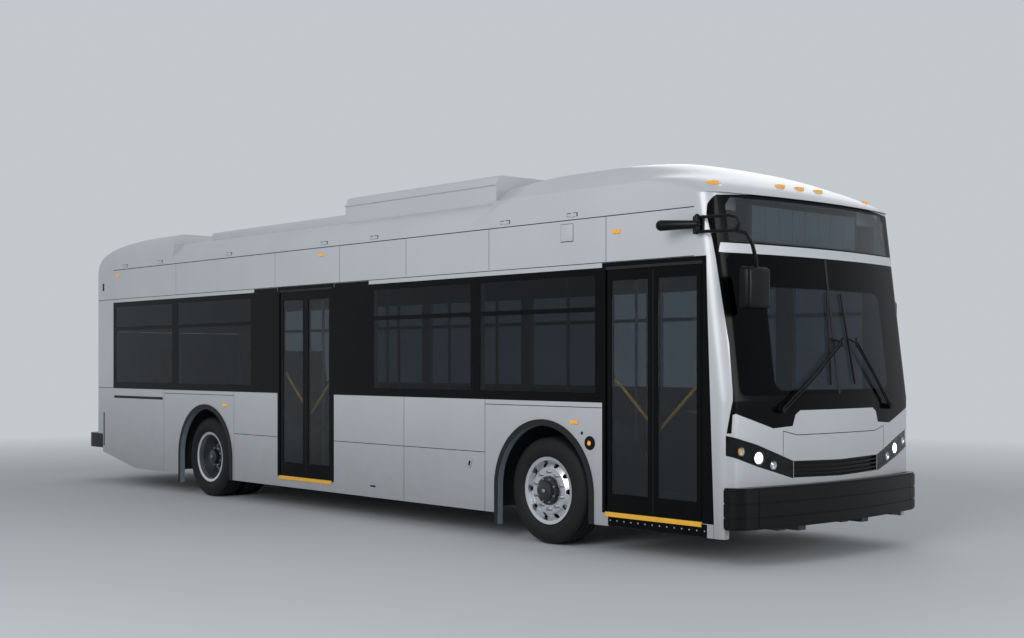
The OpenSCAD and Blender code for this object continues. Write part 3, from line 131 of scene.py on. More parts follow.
def make_silver_white_paint():
    # Two-pack polyurethane over panels: a soft clear gloss, a faint orange peel, and a darker grey towards
    # the bottom.
    made, tree, place = start_finish("two_pack_silver_white")
    # Batches drift a little over about 900 mm.
    cloud = put(tree, "ShaderNodeTexNoise", inputs={"Vector": place, "Scale": METRE / 900.0, "Detail": 2.0})
    tone = put(tree, "ShaderNodeMix", RGBA, {0: cloud, FIRST: linear("#b9bcc1"), SECOND: linear("#c5c8cc")})
    # The colour darkens towards the bottom, fading out between the skirt, at 0.22 m, and 1.5 m.
    height = put(tree, "ShaderNodeSeparateXYZ", inputs={0: place}).outputs["Z"]
    low = put(tree, "ShaderNodeMapRange",
              inputs={"Value": height, "From Min": 0.22, "From Max": 1.5, "To Min": 1.3, "To Max": 0.0})
    # The darkening comes in patches of about 160 mm.
    darkening_patches = put(tree, "ShaderNodeTexNoise", inputs={"Vector": place, "Scale": METRE / 160.0, "Detail": 5.0})
    faint = put(tree, "ShaderNodeMapRange",
                inputs={"Value": darkening_patches, "From Min": 0.2, "From Max": 0.8, "To Min": 0.44, "To Max": 0.56})
    mottle = put(tree, "ShaderNodeMath", {"operation": "MULTIPLY"}, {0: low, 1: faint})
    shade = put(tree, "ShaderNodeMix", RGBA, {0: mottle, FIRST: tone, SECOND: linear("#84868a")})
    # The peel is really about 3 mm wide; it is drawn at 14 mm so that it shows.
    peel = put(tree, "ShaderNodeTexNoise", inputs={"Vector": place, "Scale": METRE / 14.0, "Detail": 1.0})
    bump = put(tree, "ShaderNodeBump", inputs={"Height": peel, "Strength": 0.03, "Distance": 0.4 * MM})
    return end_finish(made, {"Base Color": shade, "Normal": bump, "Roughness": 0.36, "Metallic": 0.15,
                             "Coat Weight": 0.3, "Coat Roughness": 0.16})


def make_gloss_black():
    # Black gel coat on glass fibre, and the fritted edges of bonded glass: deep black under faint dust.
    made, tree, place = start_finish("gloss_black_gelcoat")
    # Dust lies in patches of about 240 mm.
    dust = put(tree, "ShaderNodeTexNoise", inputs={"Vector": place, "Scale": METRE / 240.0, "Detail": 4.0})
    tone = put(tree, "ShaderNodeMix", RGBA, {0: dust, FIRST: linear("#030404"), SECOND: linear("#090a0c")})
    haze = put(tree, "ShaderNodeMapRange",
               inputs={"Value": dust, "From Min": 0.3, "From Max": 0.7, "To Min": 0.14, "To Max": 0.26})
    return end_finish(made, {"Base Color": tone, "Roughness": haze, "Specular IOR Level": 0.07,
                             "Coat Weight": 0.03, "Coat Roughness": 0.06})


def make_moulded_black():
    # Self-coloured polyurethane moulding with a fine leather grain, a little chalked by weather.
    made, tree, place = start_finish("moulded_black_polyurethane")
    # Chalking comes in patches of about 130 mm.
    chalk = put(tree, "ShaderNodeTexNoise", inputs={"Vector": place, "Scale": METRE / 130.0, "Detail": 4.0})
    tone = put(tree, "ShaderNodeMix", RGBA, {0: chalk, FIRST: linear("#050607"), SECOND: linear("#0c0e10")})
    # The grain is about 1 mm; it is drawn at 7 mm so that it shows.
    cells = put(tree, "ShaderNodeTexVoronoi", inputs={"Vector": place, "Scale": METRE / 7.0})
    bump = put(tree, "ShaderNodeBump", inputs={"Height": cells, "Strength": 0.2, "Distance": 0.5 * MM})
    return end_finish(made, {"Base Color": tone, "Normal": bump, "Roughness": 0.32,
                             "Specular IOR Level": 0.16})


def make_extruded_rubber(name, first, second):
    # Extruded EPDM, also a painted blue-grey highlight and a painted shadow grey for grooves and gaps: a dull
    # bloom over faint marks of the die or the tool.
    made, tree, place = start_finish(name)
    # The bloom comes in patches of about 110 mm.
    bloom = put(tree, "ShaderNodeTexNoise", inputs={"Vector": place, "Scale": METRE / 110.0, "Detail": 3.0})
    tone = put(tree, "ShaderNodeMix", RGBA, {0: bloom, FIRST: linear(first), SECOND: linear(second)})
    # Die marks are under 1 mm; they are drawn at 9 mm so that they show.
    die = put(tree, "ShaderNodeTexNoise", inputs={"Vector": place, "Scale": METRE / 9.0, "Detail": 2.0})
    bump = put(tree, "ShaderNodeBump", inputs={"Height": die, "Strength": 0.15, "Distance": 0.4 * MM})
    return end_finish(made, {"Base Color": tone, "Normal": bump, "Roughness": 0.55,
                             "Specular IOR Level": 0.3})


def make_tinted_glass(name, first, second):
    # Body-tinted laminated glass with a low-reflection face: a grey-blue dye and a thin dust film.
    made, tree, place = start_finish(name)
    # The film comes in patches of about 500 mm.
    mottle = put(tree, "ShaderNodeTexNoise", inputs={"Vector": place, "Scale": METRE / 500.0, "Detail": 3.0})
    tone = put(tree, "ShaderNodeMix", RGBA, {0: mottle, FIRST: linear(first), SECOND: linear(second)})
    haze = put(tree, "ShaderNodeMapRange",
               inputs={"Value": mottle, "From Min": 0.3, "From Max": 0.7, "To Min": 0.0, "To Max": 0.03})
    return end_finish(made, {"Base Color": tone, "Roughness": haze, "IOR": 1.22, "Transmission Weight": 0.97})


def make_screen_glass():
    # Laminated windscreen: a clear sight area with rounded corners inside a printed black border.
    made, tree, place = start_finish("laminated_screen_glass")
    # The sight area is 1620 mm wide and 830 mm high, with 90 mm corners.
    middle = put(tree, "ShaderNodeVectorMath", {"operation": "SUBTRACT"}, {0: place, 1: (0.0, 0.02, 1.815)})
    across = put(tree, "ShaderNodeVectorMath", {"operation": "MULTIPLY"}, {0: middle, 1: (0.0, 1.0, 1.0)})
    apart = put(tree, "ShaderNodeVectorMath", {"operation": "ABSOLUTE"}, {0: across})
    past = put(tree, "ShaderNodeVectorMath", {"operation": "SUBTRACT"}, {0: apart, 1: (0.0, 0.72, 0.325)})
    outside = put(tree, "ShaderNodeVectorMath", {"operation": "MAXIMUM"}, {0: past, 1: (0.0, 0.0, 0.0)})
    reach = put(tree, "ShaderNodeVectorMath", {"operation": "LENGTH"}, {0: outside})
    edge = put(tree, "ShaderNodeMapRange",
               inputs={"Value": reach, "From Min": 0.086, "From Max": 0.094, "To Min": 0.0, "To Max": 1.0})
    # A wiped film in patches of about 420 mm.
    mottle = put(tree, "ShaderNodeTexNoise", inputs={"Vector": place, "Scale": METRE / 420.0, "Detail": 3.0})
    tone = put(tree, "ShaderNodeMix", RGBA, {0: mottle, FIRST: linear("#68727a"), SECOND: linear("#727d85")})
    whole = put(tree, "ShaderNodeMix", RGBA, {0: edge, FIRST: tone, SECOND: linear("#07090a")})
    return end_finish(made, {"Base Color": whole, "Roughness": 0.0, "IOR": 1.18, "Transmission Weight": 0.92})


def make_clear_cover():
    # Clear polycarbonate lamp cover: hard-coated, almost invisible but for reflections and some road haze.
    made, tree, place = start_finish("clear_polycarbonate")
    # The haze comes in patches of about 60 mm.
    haze = put(tree, "ShaderNodeTexNoise", inputs={"Vector": place, "Scale": METRE / 60.0, "Detail": 3.0})
    tone = put(tree, "ShaderNodeMix", RGBA, {0: haze, FIRST: linear("#e6ebee"), SECOND: linear("#f6f8f9")})
    blur = put(tree, "ShaderNodeMapRange",
               inputs={"Value": haze, "From Min": 0.3, "From Max": 0.7, "To Min": 0.0, "To Max": 0.04})
    return end_finish(made, {"Base Color": tone, "Roughness": blur, "IOR": 1.2, "Transmission Weight": 1.0})


def make_lens(name, deep, bright, glow):
    # Injection-moulded polycarbonate lens: a clear dyed skin over pillow optics, lit a little from behind.
    made, tree, place = start_finish(name)
    # Pillow optics of about 8 mm.
    pillow = put(tree, "ShaderNodeTexVoronoi", inputs={"Vector": place, "Scale": METRE / 8.0})
    tone = put(tree, "ShaderNodeMix", RGBA, {0: pillow, FIRST: linear(bright), SECOND: linear(deep)})
    bump = put(tree, "ShaderNodeBump", inputs={"Height": pillow, "Strength": 0.4, "Distance": 1.0 * MM})
    return end_finish(made, {"Base Color": tone, "Emission Color": tone, "Emission Strength": glow,
                             "Normal": bump, "Roughness": 0.12, "IOR": 1.58, "Transmission Weight": 0.2})


def make_powder_coat(name, first, second):
    # Powder coat or stoved enamel: a hard satin skin with a soft orange peel.
    made, tree, place = start_finish(name)
    # The tone drifts over about 70 mm.
    drift = put(tree, "ShaderNodeTexNoise", inputs={"Vector": place, "Scale": METRE / 70.0, "Detail": 3.0})
    tone = put(tree, "ShaderNodeMix", RGBA, {0: drift, FIRST: linear(first), SECOND: linear(second)})
    # The peel is about 2 mm; it is drawn at 6 mm so that it shows.
    peel = put(tree, "ShaderNodeTexNoise", inputs={"Vector": place, "Scale": METRE / 6.0, "Detail": 1.0})
    bump = put(tree, "ShaderNodeBump", inputs={"Height": peel, "Strength": 0.1, "Distance": 0.3 * MM})
    return end_finish(made, {"Base Color": tone, "Normal": bump, "Roughness": 0.34, "Coat Weight": 0.2,
                             "Coat Roughness": 0.2})


def make_floor_vinyl():
    # Slip-resistant vinyl sheet: grey with flakes of quartz and carborundum.
    made, tree, place = start_finish("slip_resistant_vinyl")
    # The flakes are 1 to 2 mm; they are drawn at 12 mm so that they show.
    flake = put(tree, "ShaderNodeTexVoronoi", inputs={"Vector": place, "Scale": METRE / 12.0})
    spot = put(tree, "ShaderNodeSeparateColor", inputs={0: flake.outputs["Color"]})
    tone = put(tree, "ShaderNodeMix", RGBA, {0: spot, FIRST: linear("#3a3d40"), SECOND: linear("#595d61")})
    bump = put(tree, "ShaderNodeBump", inputs={"Height": spot, "Strength": 0.3, "Distance": 0.5 * MM})
    return end_finish(made, {"Base Color": tone, "Normal": bump, "Roughness": 0.75})


def make_moulded_plastic(name, first, second, rough):
    # Injection-moulded ABS or polypropylene, or pressed laminate: an even satin with a spark-eroded grain.
    made, tree, place = start_finish(name)
    # The tone drifts over about 120 mm.
    drift = put(tree, "ShaderNodeTexNoise", inputs={"Vector": place, "Scale": METRE / 120.0, "Detail": 3.0})
    tone = put(tree, "ShaderNodeMix", RGBA, {0: drift, FIRST: linear(first), SECOND: linear(second)})
    # The grain is below 1 mm; it is drawn at 5 mm so that it shows.
    grit = put(tree, "ShaderNodeTexNoise", inputs={"Vector": place, "Scale": METRE / 5.0, "Detail": 2.0})
    bump = put(tree, "ShaderNodeBump", inputs={"Height": grit, "Strength": 0.2, "Distance": 0.3 * MM})
    return end_finish(made, {"Base Color": tone, "Normal": bump, "Roughness": rough})


def make_woven_cloth():
    # Wool moquette: a cut pile on a woven ground, with a soft sheen.
    made, tree, place = start_finish("wool_moquette")
    # The ribs are 2 mm apart; they are drawn at 9 mm so that they show. A scale of 1 is about 3.2 bands.
    ribs = put(tree, "ShaderNodeTexWave", {"bands_direction": "Y"},
               {"Vector": place, "Scale": METRE / 9.0 / 3.2, "Distortion": 1.5, "Detail": 2.0}).outputs["Fac"]
    tone = put(tree, "ShaderNodeMix", RGBA, {0: ribs, FIRST: linear("#1d2530"), SECOND: linear("#2f3a4a")})
    bump = put(tree, "ShaderNodeBump", inputs={"Height": ribs, "Strength": 0.5, "Distance": 1.0 * MM})
    return end_finish(made, {"Base Color": tone, "Normal": bump, "Roughness": 0.9, "Sheen Weight": 0.4,
                             "Sheen Roughness": 0.4})


def from_axle(tree, place, hub):
    """The distance from a wheel's axle, for what is moulded or turned round it."""
    centred = put(tree, "ShaderNodeMapping", {"vector_type": "POINT"},
                  {"Vector": place, "Location": [-c for c in hub]})
    flat = put(tree, "ShaderNodeVectorMath", {"operation": "MULTIPLY"}, {0: centred, 1: (1.0, 0.0, 1.0)})
    return put(tree, "ShaderNodeVectorMath", {"operation": "LENGTH"}, {0: flat})


def make_tyre_rubber(name, hub):
    # Vulcanised tread rubber: matt black, with moulded rings on the walls and a bloom of dust.
    made, tree, place = start_finish(name)
    # Dust lies in patches of about 140 mm.
    dust = put(tree, "ShaderNodeTexNoise", inputs={"Vector": place, "Scale": METRE / 140.0, "Detail": 4.0})
    tone = put(tree, "ShaderNodeMix", RGBA, {0: dust, FIRST: linear("#090a0b"), SECOND: linear("#16181a")})
    # Moulded rings 11 mm apart on the walls.
    turns = put(tree, "ShaderNodeMath", {"operation": "MULTIPLY"},
                {0: from_axle(tree, place, hub), 1: 2.0 * math.pi / (11.0 * MM)})
    rings = put(tree, "ShaderNodeMath", {"operation": "SINE"}, {0: turns})
    bump = put(tree, "ShaderNodeBump", inputs={"Height": rings, "Strength": 0.25, "Distance": 0.8 * MM})
    return end_finish(made, {"Base Color": tone, "Normal": bump, "Roughness": 0.68,
                             "Specular IOR Level": 0.3})


def make_forged_aluminium(name, hub):
    # Forged aluminium, machined on a lathe: bright with fine turning marks round the axle.
    made, tree, place = start_finish(name)
    # Turning marks are under 1 mm; they are drawn at 6 mm so that they show.
    marks = put(tree, "ShaderNodeTexNoise", {"noise_dimensions": "1D"},
                {"W": from_axle(tree, place, hub), "Scale": METRE / 6.0, "Detail": 3.0})
    tone = put(tree, "ShaderNodeMix", RGBA, {0: marks, FIRST: linear("#bfc2c6"), SECOND: linear("#eceef1")})
    gloss = put(tree, "ShaderNodeMapRange",
                inputs={"Value": marks, "From Min": 0.3, "From Max": 0.7, "To Min": 0.22, "To Max": 0.38})
    bump = put(tree, "ShaderNodeBump", inputs={"Height": marks, "Strength": 0.08, "Distance": 0.3 * MM})
    return end_finish(made, {"Base Color": tone, "Roughness": gloss, "Normal": bump, "Metallic": 1.0})


def make_bare_metal(name, first, second, rough):
    # Bare or plated metal: a sharp mirror on reflectors, a blurred one where it is brushed or plated, and in
    # a darker tone deep in the rear dishes.
    made, tree, place = start_finish(name)
    # Cloudy swirls of about 25 mm.
    swirl = put(tree, "ShaderNodeTexNoise", inputs={"Vector": place, "Scale": METRE / 25.0, "Detail": 3.0})
    tone = put(tree, "ShaderNodeMix", RGBA, {0: swirl, FIRST: linear(first), SECOND: linear(second)})
    return end_finish(made, {"Base Color": tone, "Metallic": 1.0, "Roughness": rough})


def make_lit_lens():
    # Lit projector lens: glass that glows white from the lamp behind it, a little cooler in places.
    made, tree, place = start_finish("lit_projector_lens")
    # The cooler places are about 40 mm wide.
    glow = put(tree, "ShaderNodeTexNoise", inputs={"Vector": place, "Scale": METRE / 40.0, "Detail": 1.0})
    tone = put(tree, "ShaderNodeMix", RGBA, {0: glow, FIRST: linear("#f2f7fb"), SECOND: linear("#ffffff")})
    return end_finish(made, {"Base Color": tone, "Emission Color": tone, "Emission Strength": 4.0,
                             "Roughness": 0.05})


def make_display_tiles():
    # Unlit display tiles: black boards with rows of clear diodes that read as an even slate grey.
    made, tree, place = start_finish("unlit_diode_tiles")
    # The diodes are 12 mm apart; they are drawn at 24 mm so that they show.
    dots = put(tree, "ShaderNodeTexVoronoi",
               inputs={"Vector": place, "Scale": METRE / 24.0, "Randomness": 0.0})
    spot = put(tree, "ShaderNodeMapRange",
               inputs={"Value": dots, "From Min": 0.25, "From Max": 0.45, "To Min": 1.0, "To Max": 0.0})
    tone = put(tree, "ShaderNodeMix", RGBA, {0: spot, FIRST: linear("#4a5660"), SECOND: linear("#6a7680")})
    return end_finish(made, {"Base Color": tone, "Roughness": 0.5})


BACKDROP = {"Color": linear("#cdd2d7"), "Strength": 0.9}
FLOOR_REACH = 150.0


def make_floor():
    """A wide pale floor that runs into the backdrop without a line, far from the object."""
    mesh = bpy.data.meshes.new("studio_floor")
    form = bmesh.new()
    bmesh.ops.create_grid(form, x_segments=1, y_segments=1, size=FLOOR_REACH)
    form.to_mesh(mesh)
    form.free()
    # Matt wall paint: an even pale grey that drifts a little over about 1500 mm.
    made, tree, place = start_finish("pale_cyclorama_paint")
    drift = put(tree, "ShaderNodeTexNoise", inputs={"Vector": place, "Scale": METRE / 1500.0, "Detail": 2.0})
    tone = put(tree, "ShaderNodeMix", RGBA, {0: drift, FIRST: linear("#c4c8cc"), SECOND: linear("#c9cdd1")})
    paint = put(tree, "ShaderNodeBsdfPrincipled", inputs={"Base Color": tone, "Roughness": 0.75})
    reach = put(tree, "ShaderNodeVectorMath", {"operation": "LENGTH"}, {0: place})
    far = put(tree, "ShaderNodeMapRange",
              inputs={"Value": reach, "From Min": 7.5, "From Max": 17.0, "To Min": 0.0, "To Max": 1.0})
    wall = put(tree, "ShaderNodeEmission", inputs=BACKDROP)
    blend = put(tree, "ShaderNodeMixShader", inputs={0: far, 1: paint, 2: wall})
    put(tree, "ShaderNodeOutputMaterial", inputs={"Surface": blend})
    mesh.materials.append(made)
    add_object("studio_floor", mesh)


def make_surround():
    """An even light on the object, and the pale backdrop for what the camera, gloss and glass see."""
    sky = bpy.data.worlds.new("studio")
    sky.use_nodes = True
    tree = sky.node_tree
    tree.nodes.clear()
    ray = put(tree, "ShaderNodeLightPath").outputs
    seen = put(tree, "ShaderNodeMath", {"operation": "MAXIMUM"},
               {0: ray["Is Camera Ray"], 1: ray["Is Glossy Ray"]})
    seen = put(tree, "ShaderNodeMath", {"operation": "MAXIMUM"}, {0: seen, 1: ray["Is Transmission Ray"]})
    plain = put(tree, "ShaderNodeBackground", inputs={"Color": linear("#e8ebee"), "Strength": 0.44})
    pale = put(tree, "ShaderNodeBackground", inputs=BACKDROP)
    both = put(tree, "ShaderNodeMixShader", inputs={0: seen, 1: plain, 2: pale})
    put(tree, "ShaderNodeOutputWorld", inputs={"Surface": both})
    bpy.context.scene.world = sky


# One big key over the right front and two fills: name, place, aim, width in metres and watts
STUDIO_LAMPS = [("key", (7.5, -15.0, 7.5), (0.5, 0.0, 1.5), 10.0, 1250.0),
                ("front_fill", (18.0, 2.0, 4.5), (4.0, 0.0, 1.5), 7.0, 620.0),
                ("far_fill", (-4.0, 12.0, 9.0), (0.0, 0.0, 1.5), 8.0, 230.0)]


def make_studio_lamp(name, spot, aim, width, watts):
    """A soft round lamp that is aimed at a place."""
    light = bpy.data.lights.new(name, "AREA")
    light.shape = "DISK"
    light.size = width
    light.energy = watts
    holder = add_object(name, light)
    holder.location = spot
    holder.rotation_euler = (Vector(aim) - Vector(spot)).to_track_quat("-Z", "Y").to_euler()


make_camera()
make_floor()
make_surround()
for lamp in STUDIO_LAMPS:
    make_studio_lamp(*lamp)
bpy.context.scene.view_settings.view_transform = "Standard"


# Finishes

PAINT = make_silver_white_paint()
GLOSS_BLACK = make_gloss_black()
MOULDED_BLACK = make_moulded_black()
RUBBER = make_extruded_rubber("extruded_epdm", "#0f1113", "#1d2023")
# A light blue-grey painted highlight on the inner flanges of the arch rubbers.
PAINTED_HIGHLIGHT_RUBBER = make_extruded_rubber("epdm_painted_highlight", "#6a7580", "#808b96")
# A dull dark grey for painted shadow in grooves, round the roof latches and round the hatch.
PAINTED_GAP_SHADOW = make_extruded_rubber("painted_gap_shadow", "#2b2e32", "#3a3e42")
GLASS = make_tinted_glass("body_tinted_glass", "#606970", "#6b747b")
DOOR_GLASS = make_tinted_glass("light_tinted_door_glass", "#a2abb1", "#acb4ba")
SIGN_GLASS = make_tinted_glass("clear_sign_glass", "#cdd4d9", "#d5dce0")
SCREEN_GLASS = make_screen_glass()
CLEAR_COVER = make_clear_cover()
AMBER = make_lens("amber_polycarbonate_lens", "#b8770f", "#f5c244", 0.35)
YELLOW = make_powder_coat("safety_yellow_powder_coat", "#e3a81f", "#f2bd3f")
ENAMEL = make_powder_coat("black_chassis_enamel", "#101214", "#1c1f22")
DARK_ABS = make_moulded_plastic("dark_grey_abs", "#1c1f22", "#272b2f", 0.5)
# A dark grey wall laminate, painted shade for the dim inside of the bus.
PAINTED_SHADE_LINING = make_moulded_plastic("wall_laminate_painted_shade", "#34383c", "#3e4347", 0.5)
CLOTH = make_woven_cloth()
CHROME = make_bare_metal("vacuum_metallised_reflector", "#d8dbde", "#eceef0", 0.08)
ZINC = make_bare_metal("zinc_plated_steel", "#8f9398", "#b0b4b8", 0.3)
# A darker alloy for the deep inside of the rear dishes.
DARKER_DISH_ALLOY = make_bare_metal("darker_dish_alloy", "#74777b", "#a2a6aa", 0.42)
SILVERED = make_bare_metal("silvered_mirror_glass", "#c9ced2", "#d6dade", 0.02)
POLE_STEEL = make_bare_metal("brushed_stainless_steel", "#6d7276", "#868b90", 0.35)
LIT = make_lit_lens()
TILES = make_display_tiles()
SLOT_FINISH = {
    "body_paint": PAINT,
    "black_trim": GLOSS_BLACK,
    "black_plastic": MOULDED_BLACK,
    "black_rubber": RUBBER,
    "glass": GLASS,
    "red_lens": make_lens("red_polycarbonate_lens", "#5e0f0c", "#b3231c", 0.05),
    "amber_lens": AMBER,
    "yellow_paint": YELLOW,
    "floor_grey": make_floor_vinyl(),
    "chassis_steel": ENAMEL,
    "dark_plastic": DARK_ABS,
    "seat_plastic": make_moulded_plastic("blue_grey_polypropylene", "#22303f", "#2b3c4f", 0.45),
    "seat_fabric": CLOTH,
}
NODE_FINISH = {"windscreen": SCREEN_GLASS, "sign_glass": SIGN_GLASS, "stanchions": POLE_STEEL}
TYRE_FRONT = make_tyre_rubber("front_tread_rubber", AXLE_F)
TYRE_REAR = make_tyre_rubber("rear_tread_rubber", AXLE_R)
RIM_FRONT = make_forged_aluminium("front_forged_aluminium", AXLE_F)
RIM_REAR = make_forged_aluminium("rear_forged_aluminium", AXLE_R)
SLOT_OF = {s["node"]: s["material_slot"] for s in frame["record"]["subparts"]}
BODY_OF = {n: body for body, names in frame["record"]["behaviour"]["bodies"].items() for n in names}
SHELL = BODY_OF["wall_right"]


def finish_of(node):
    """The finish of a node: its own, its wheel's or its slot's."""
    slot = SLOT_OF[node]
    if node in NODE_FINISH:
        return NODE_FINISH[node]
    if node.startswith("leaf_glass"):
        return DOOR_GLASS
    if slot == "tyre":
        return TYRE_FRONT if "front" in node else TYRE_REAR
    if slot == "wheel_alloy":
        return RIM_FRONT if "front" in node else RIM_REAR
    return SLOT_FINISH[slot]


# Shared ways of making a piece

def at(x, y, z):
    """A place in metres from millimetres counted from the front axle, the middle line and the ground."""
    return Vector((x * MM + AXLE_F[0], y * MM, z * MM))


def nose_at(y):
    """How far forward the upright nose skin stands at a distance from the middle line."""
    heart = NOSE - NOSE_BOW
    turn = HALF_WIDTH - CORNER
    start = heart + math.sqrt((NOSE_BOW - CORNER) ** 2 - turn ** 2)
    if abs(y) < NOSE_BOW * turn / (NOSE_BOW - CORNER):
        return heart + math.sqrt(NOSE_BOW ** 2 - y ** 2)
    return start + math.sqrt(max(CORNER ** 2 - (abs(y) - turn) ** 2, 0.0))


def screen_at(y, z, out):
    """A place a distance in front of the raked screen."""
    return at(nose_at(y) - (z - COWL_TOP) * RAKE + out, y, z)


def stand(spot, out, up):
    """A turn that puts X along a piece, Y up it and Z out of what carries it."""
    out = Vector(out).normalized()
    side = Vector(up).cross(out).normalized()
    rise = out.cross(side)
    return Matrix.Translation(spot) @ Matrix((side, rise, out)).transposed().to_4x4()


# Points this close are one; skins of nodes shade smooth up to this angle
WELD = 0.02 * MM
SKIN_CREASE = 28.0


def soften(form, degrees):
    """Shades a form smooth, with hard edges where faces meet at more than the angle."""
    for face in form.faces:
        face.smooth = True
    for edge in form.edges:
        edge.smooth = len(edge.link_faces) == 2 and edge.calc_face_angle(0.0) < math.radians(degrees)


def settle(name, form, body, slot, *finishes):
    """Turns a bmesh into a piece that rides on a body."""
    mesh = bpy.data.meshes.new(name)
    form.to_mesh(mesh)
    form.free()
    for finish in finishes:
        mesh.materials.append(finish)
    piece = add_object(name, mesh)
    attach(piece, body)
    return piece


def close_and_settle(name, form, degrees, body, slot, *finishes):
    """Merges seams and poles, turns faces outwards, shades a form up to an angle and settles it."""
    bmesh.ops.remove_doubles(form, verts=form.verts, dist=WELD)
    bmesh.ops.recalc_face_normals(form, faces=form.faces)
    if degrees:
        soften(form, degrees)
    return settle(name, form, body, slot, *finishes)


def coat(form, known, finish):
    """Gives the faces made since then a finish by its number."""
    for face in form.faces:
        if face not in known:
            face.material_index = finish


def block(form, low, high, radius, place=None, finish=0):
    """Adds a block between two corners in millimetres, with rounded edges."""
    known = set(form.faces)
    low, high = Vector(low) * MM, Vector(high) * MM
    made = bmesh.ops.create_cube(form, size=1.0)["verts"]
    bmesh.ops.scale(form, vec=high - low, verts=made)
    bmesh.ops.translate(form, vec=(low + high) / 2.0, verts=made)
    bmesh.ops.transform(form, matrix=place or Matrix.Translation(at(0, 0, 0)), verts=made)
    edges = list({e for v in made for e in v.link_edges})
    bmesh.ops.bevel(form, geom=edges, offset=radius * MM, affect="EDGES", segments=2, profile=0.5,
                    material=-1)
    coat(form, known, finish)


def tube(form, points, radius, sides=12):
    """Adds a round bar through places."""
    loops = []
    last = len(points) - 1
    for i, spot in enumerate(points):
        way = points[min(i + 1, last)] - points[max(i - 1, 0)]
        turn = way.to_track_quat("Z", "Y").to_matrix().to_4x4()
        ring = bmesh.ops.create_circle(form, cap_ends=i in (0, last), segments=sides, radius=radius * MM,
                                       matrix=Matrix.Translation(spot) @ turn)["verts"]
        loops.append({e for v in ring for e in v.link_edges})
    for one, two in zip(loops, loops[1:]):
        bmesh.ops.bridge_loops(form, edges=list(one | two))


def turned(form, profile, hub, out, steps=32, finish=0):
    """Adds a form turned on a lathe from radius and height in millimetres."""
    known = set(form.faces)
    out = Vector(out).normalized()
    side = out.orthogonal().normalized()
    verts = [form.verts.new(hub + side * (r * MM) + out * (h * MM)) for r, h in profile]
    edges = [form.edges.new(pair) for pair in zip(verts, verts[1:])]
    bmesh.ops.spin(form, geom=verts + edges, cent=hub, axis=out, angle=2.0 * math.pi, steps=steps,
                   use_merge=True)
    coat(form, known, finish)


def surround(form, wide, tall, width, thick, place, radius=0.0, finish=0):
    """Adds a flat frame round an opening, standing out of its place."""
    known = set(form.faces)
    flat = bmesh.ops.create_grid(form, x_segments=1, y_segments=1, size=0.5)["verts"]
    face = flat[0].link_faces[0]
    bmesh.ops.scale(form, vec=(wide * MM, tall * MM, 1.0), verts=flat)
    if radius:
        bmesh.ops.bevel(form, geom=flat, offset=radius * MM, affect="VERTICES", segments=4, profile=0.5,
                        material=-1)
        face = next(f for f in form.faces if f not in known)
    bmesh.ops.inset_region(form, faces=[face], thickness=width * MM, use_even_offset=True)
    bmesh.ops.delete(form, geom=[face], context="FACES")
    rim = [f for f in form.faces if f not in known]
    raised = bmesh.ops.extrude_face_region(form, geom=rim, use_keep_orig=True)["geom"]
    bmesh.ops.translate(form, vec=(0.0, 0.0, thick * MM),
                        verts=[v for v in raised if isinstance(v, bmesh.types.BMVert)])
    made = {v for f in form.faces if f not in known for v in f.verts}
    bmesh.ops.transform(form, matrix=place, verts=list(made))
    coat(form, known, finish)


def dress(node, parts=(), cuts=()):
    """A shown skin of a node: triangles merged, cut where a finish ends, with other finishes by a test."""
    form = bmesh.new()
    form.from_mesh(frame["nodes"][node].data)
    bmesh.ops.remove_doubles(form, verts=form.verts, dist=WELD)
    for spot, way in cuts:
        bmesh.ops.bisect_plane(form, geom=form.verts[:] + form.edges[:] + form.faces[:], plane_co=spot,
                               plane_no=way)
    soften(form, SKIN_CREASE)
    for face in form.faces:
        for number, (finish, test) in enumerate(parts, 1):
            if test(face):
                face.material_index = number
    finishes = [finish_of(node)] + [finish for finish, test in parts]
    piece = settle(node + "_skin", form, BODY_OF[node], SLOT_OF[node], *finishes)
    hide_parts(node)


# Tests that tell the faces of one node apart, with the places in metres where a finish changes

SQUARE, FACING, ROUGHLY_FACING, UPRIGHT = 0.9, 0.5, 0.6, 0.3
SEAM_FLOOR, SEAM_SLACK = 1.291, 0.0006
VENT_FLOOR = (1.2790, 1.2868)
BAND_HEIGHTS, BAND_ENDS, BAND_INSIDE = (1.2825, 2.4295), (-4.884, 4.246), 1.27
TAIL_SEAMS, TAIL_START = ((1.2825, 1.2905), (2.4695, 2.4775)), -4.6
NOSE_LINE_DEPTH, NOSE_TOP = (0.0033, 0.0075), 1.33
CEILING, CEILING_HALF, LINED_DEPTH = 2.46, 1.2, (1.1, 1.272)
HANDLE_OUTSIDE = -1.2494
MIDWAY = 0.5
DISH_LIP, DISH_RADIUS = 1.165, 0.272
HUB, NUTS = (0.0, 0.1335), (0.150, 0.187)
DISC_F, DISC_R = 1.2150, 1.0450


def in_seam(face):
    """The floor of a seam groove, 4 mm below a side panel, painted dark grey as the shade in the groove."""
    level = all(abs(abs(v.co.y) - SEAM_FLOOR) < SEAM_SLACK for v in face.verts)
    return level and abs(face.normal.y) > SQUARE


def in_vent(face):
    """The floor of an air slot in a side panel."""
    deep = [abs(v.co.y) for v in face.verts]
    return abs(face.normal.y) > SQUARE and max(deep) < VENT_FLOOR[1] and min(deep) > VENT_FLOOR[0]


def in_band(face):
    """The strips of wall between the panes, that are black like the glass edges."""
    mid = face.calc_center_median()
    level = BAND_HEIGHTS[0] < mid.z < BAND_HEIGHTS[1]
    return level and abs(mid.y) > BAND_INSIDE and BAND_ENDS[0] < mid.x < BAND_ENDS[1]


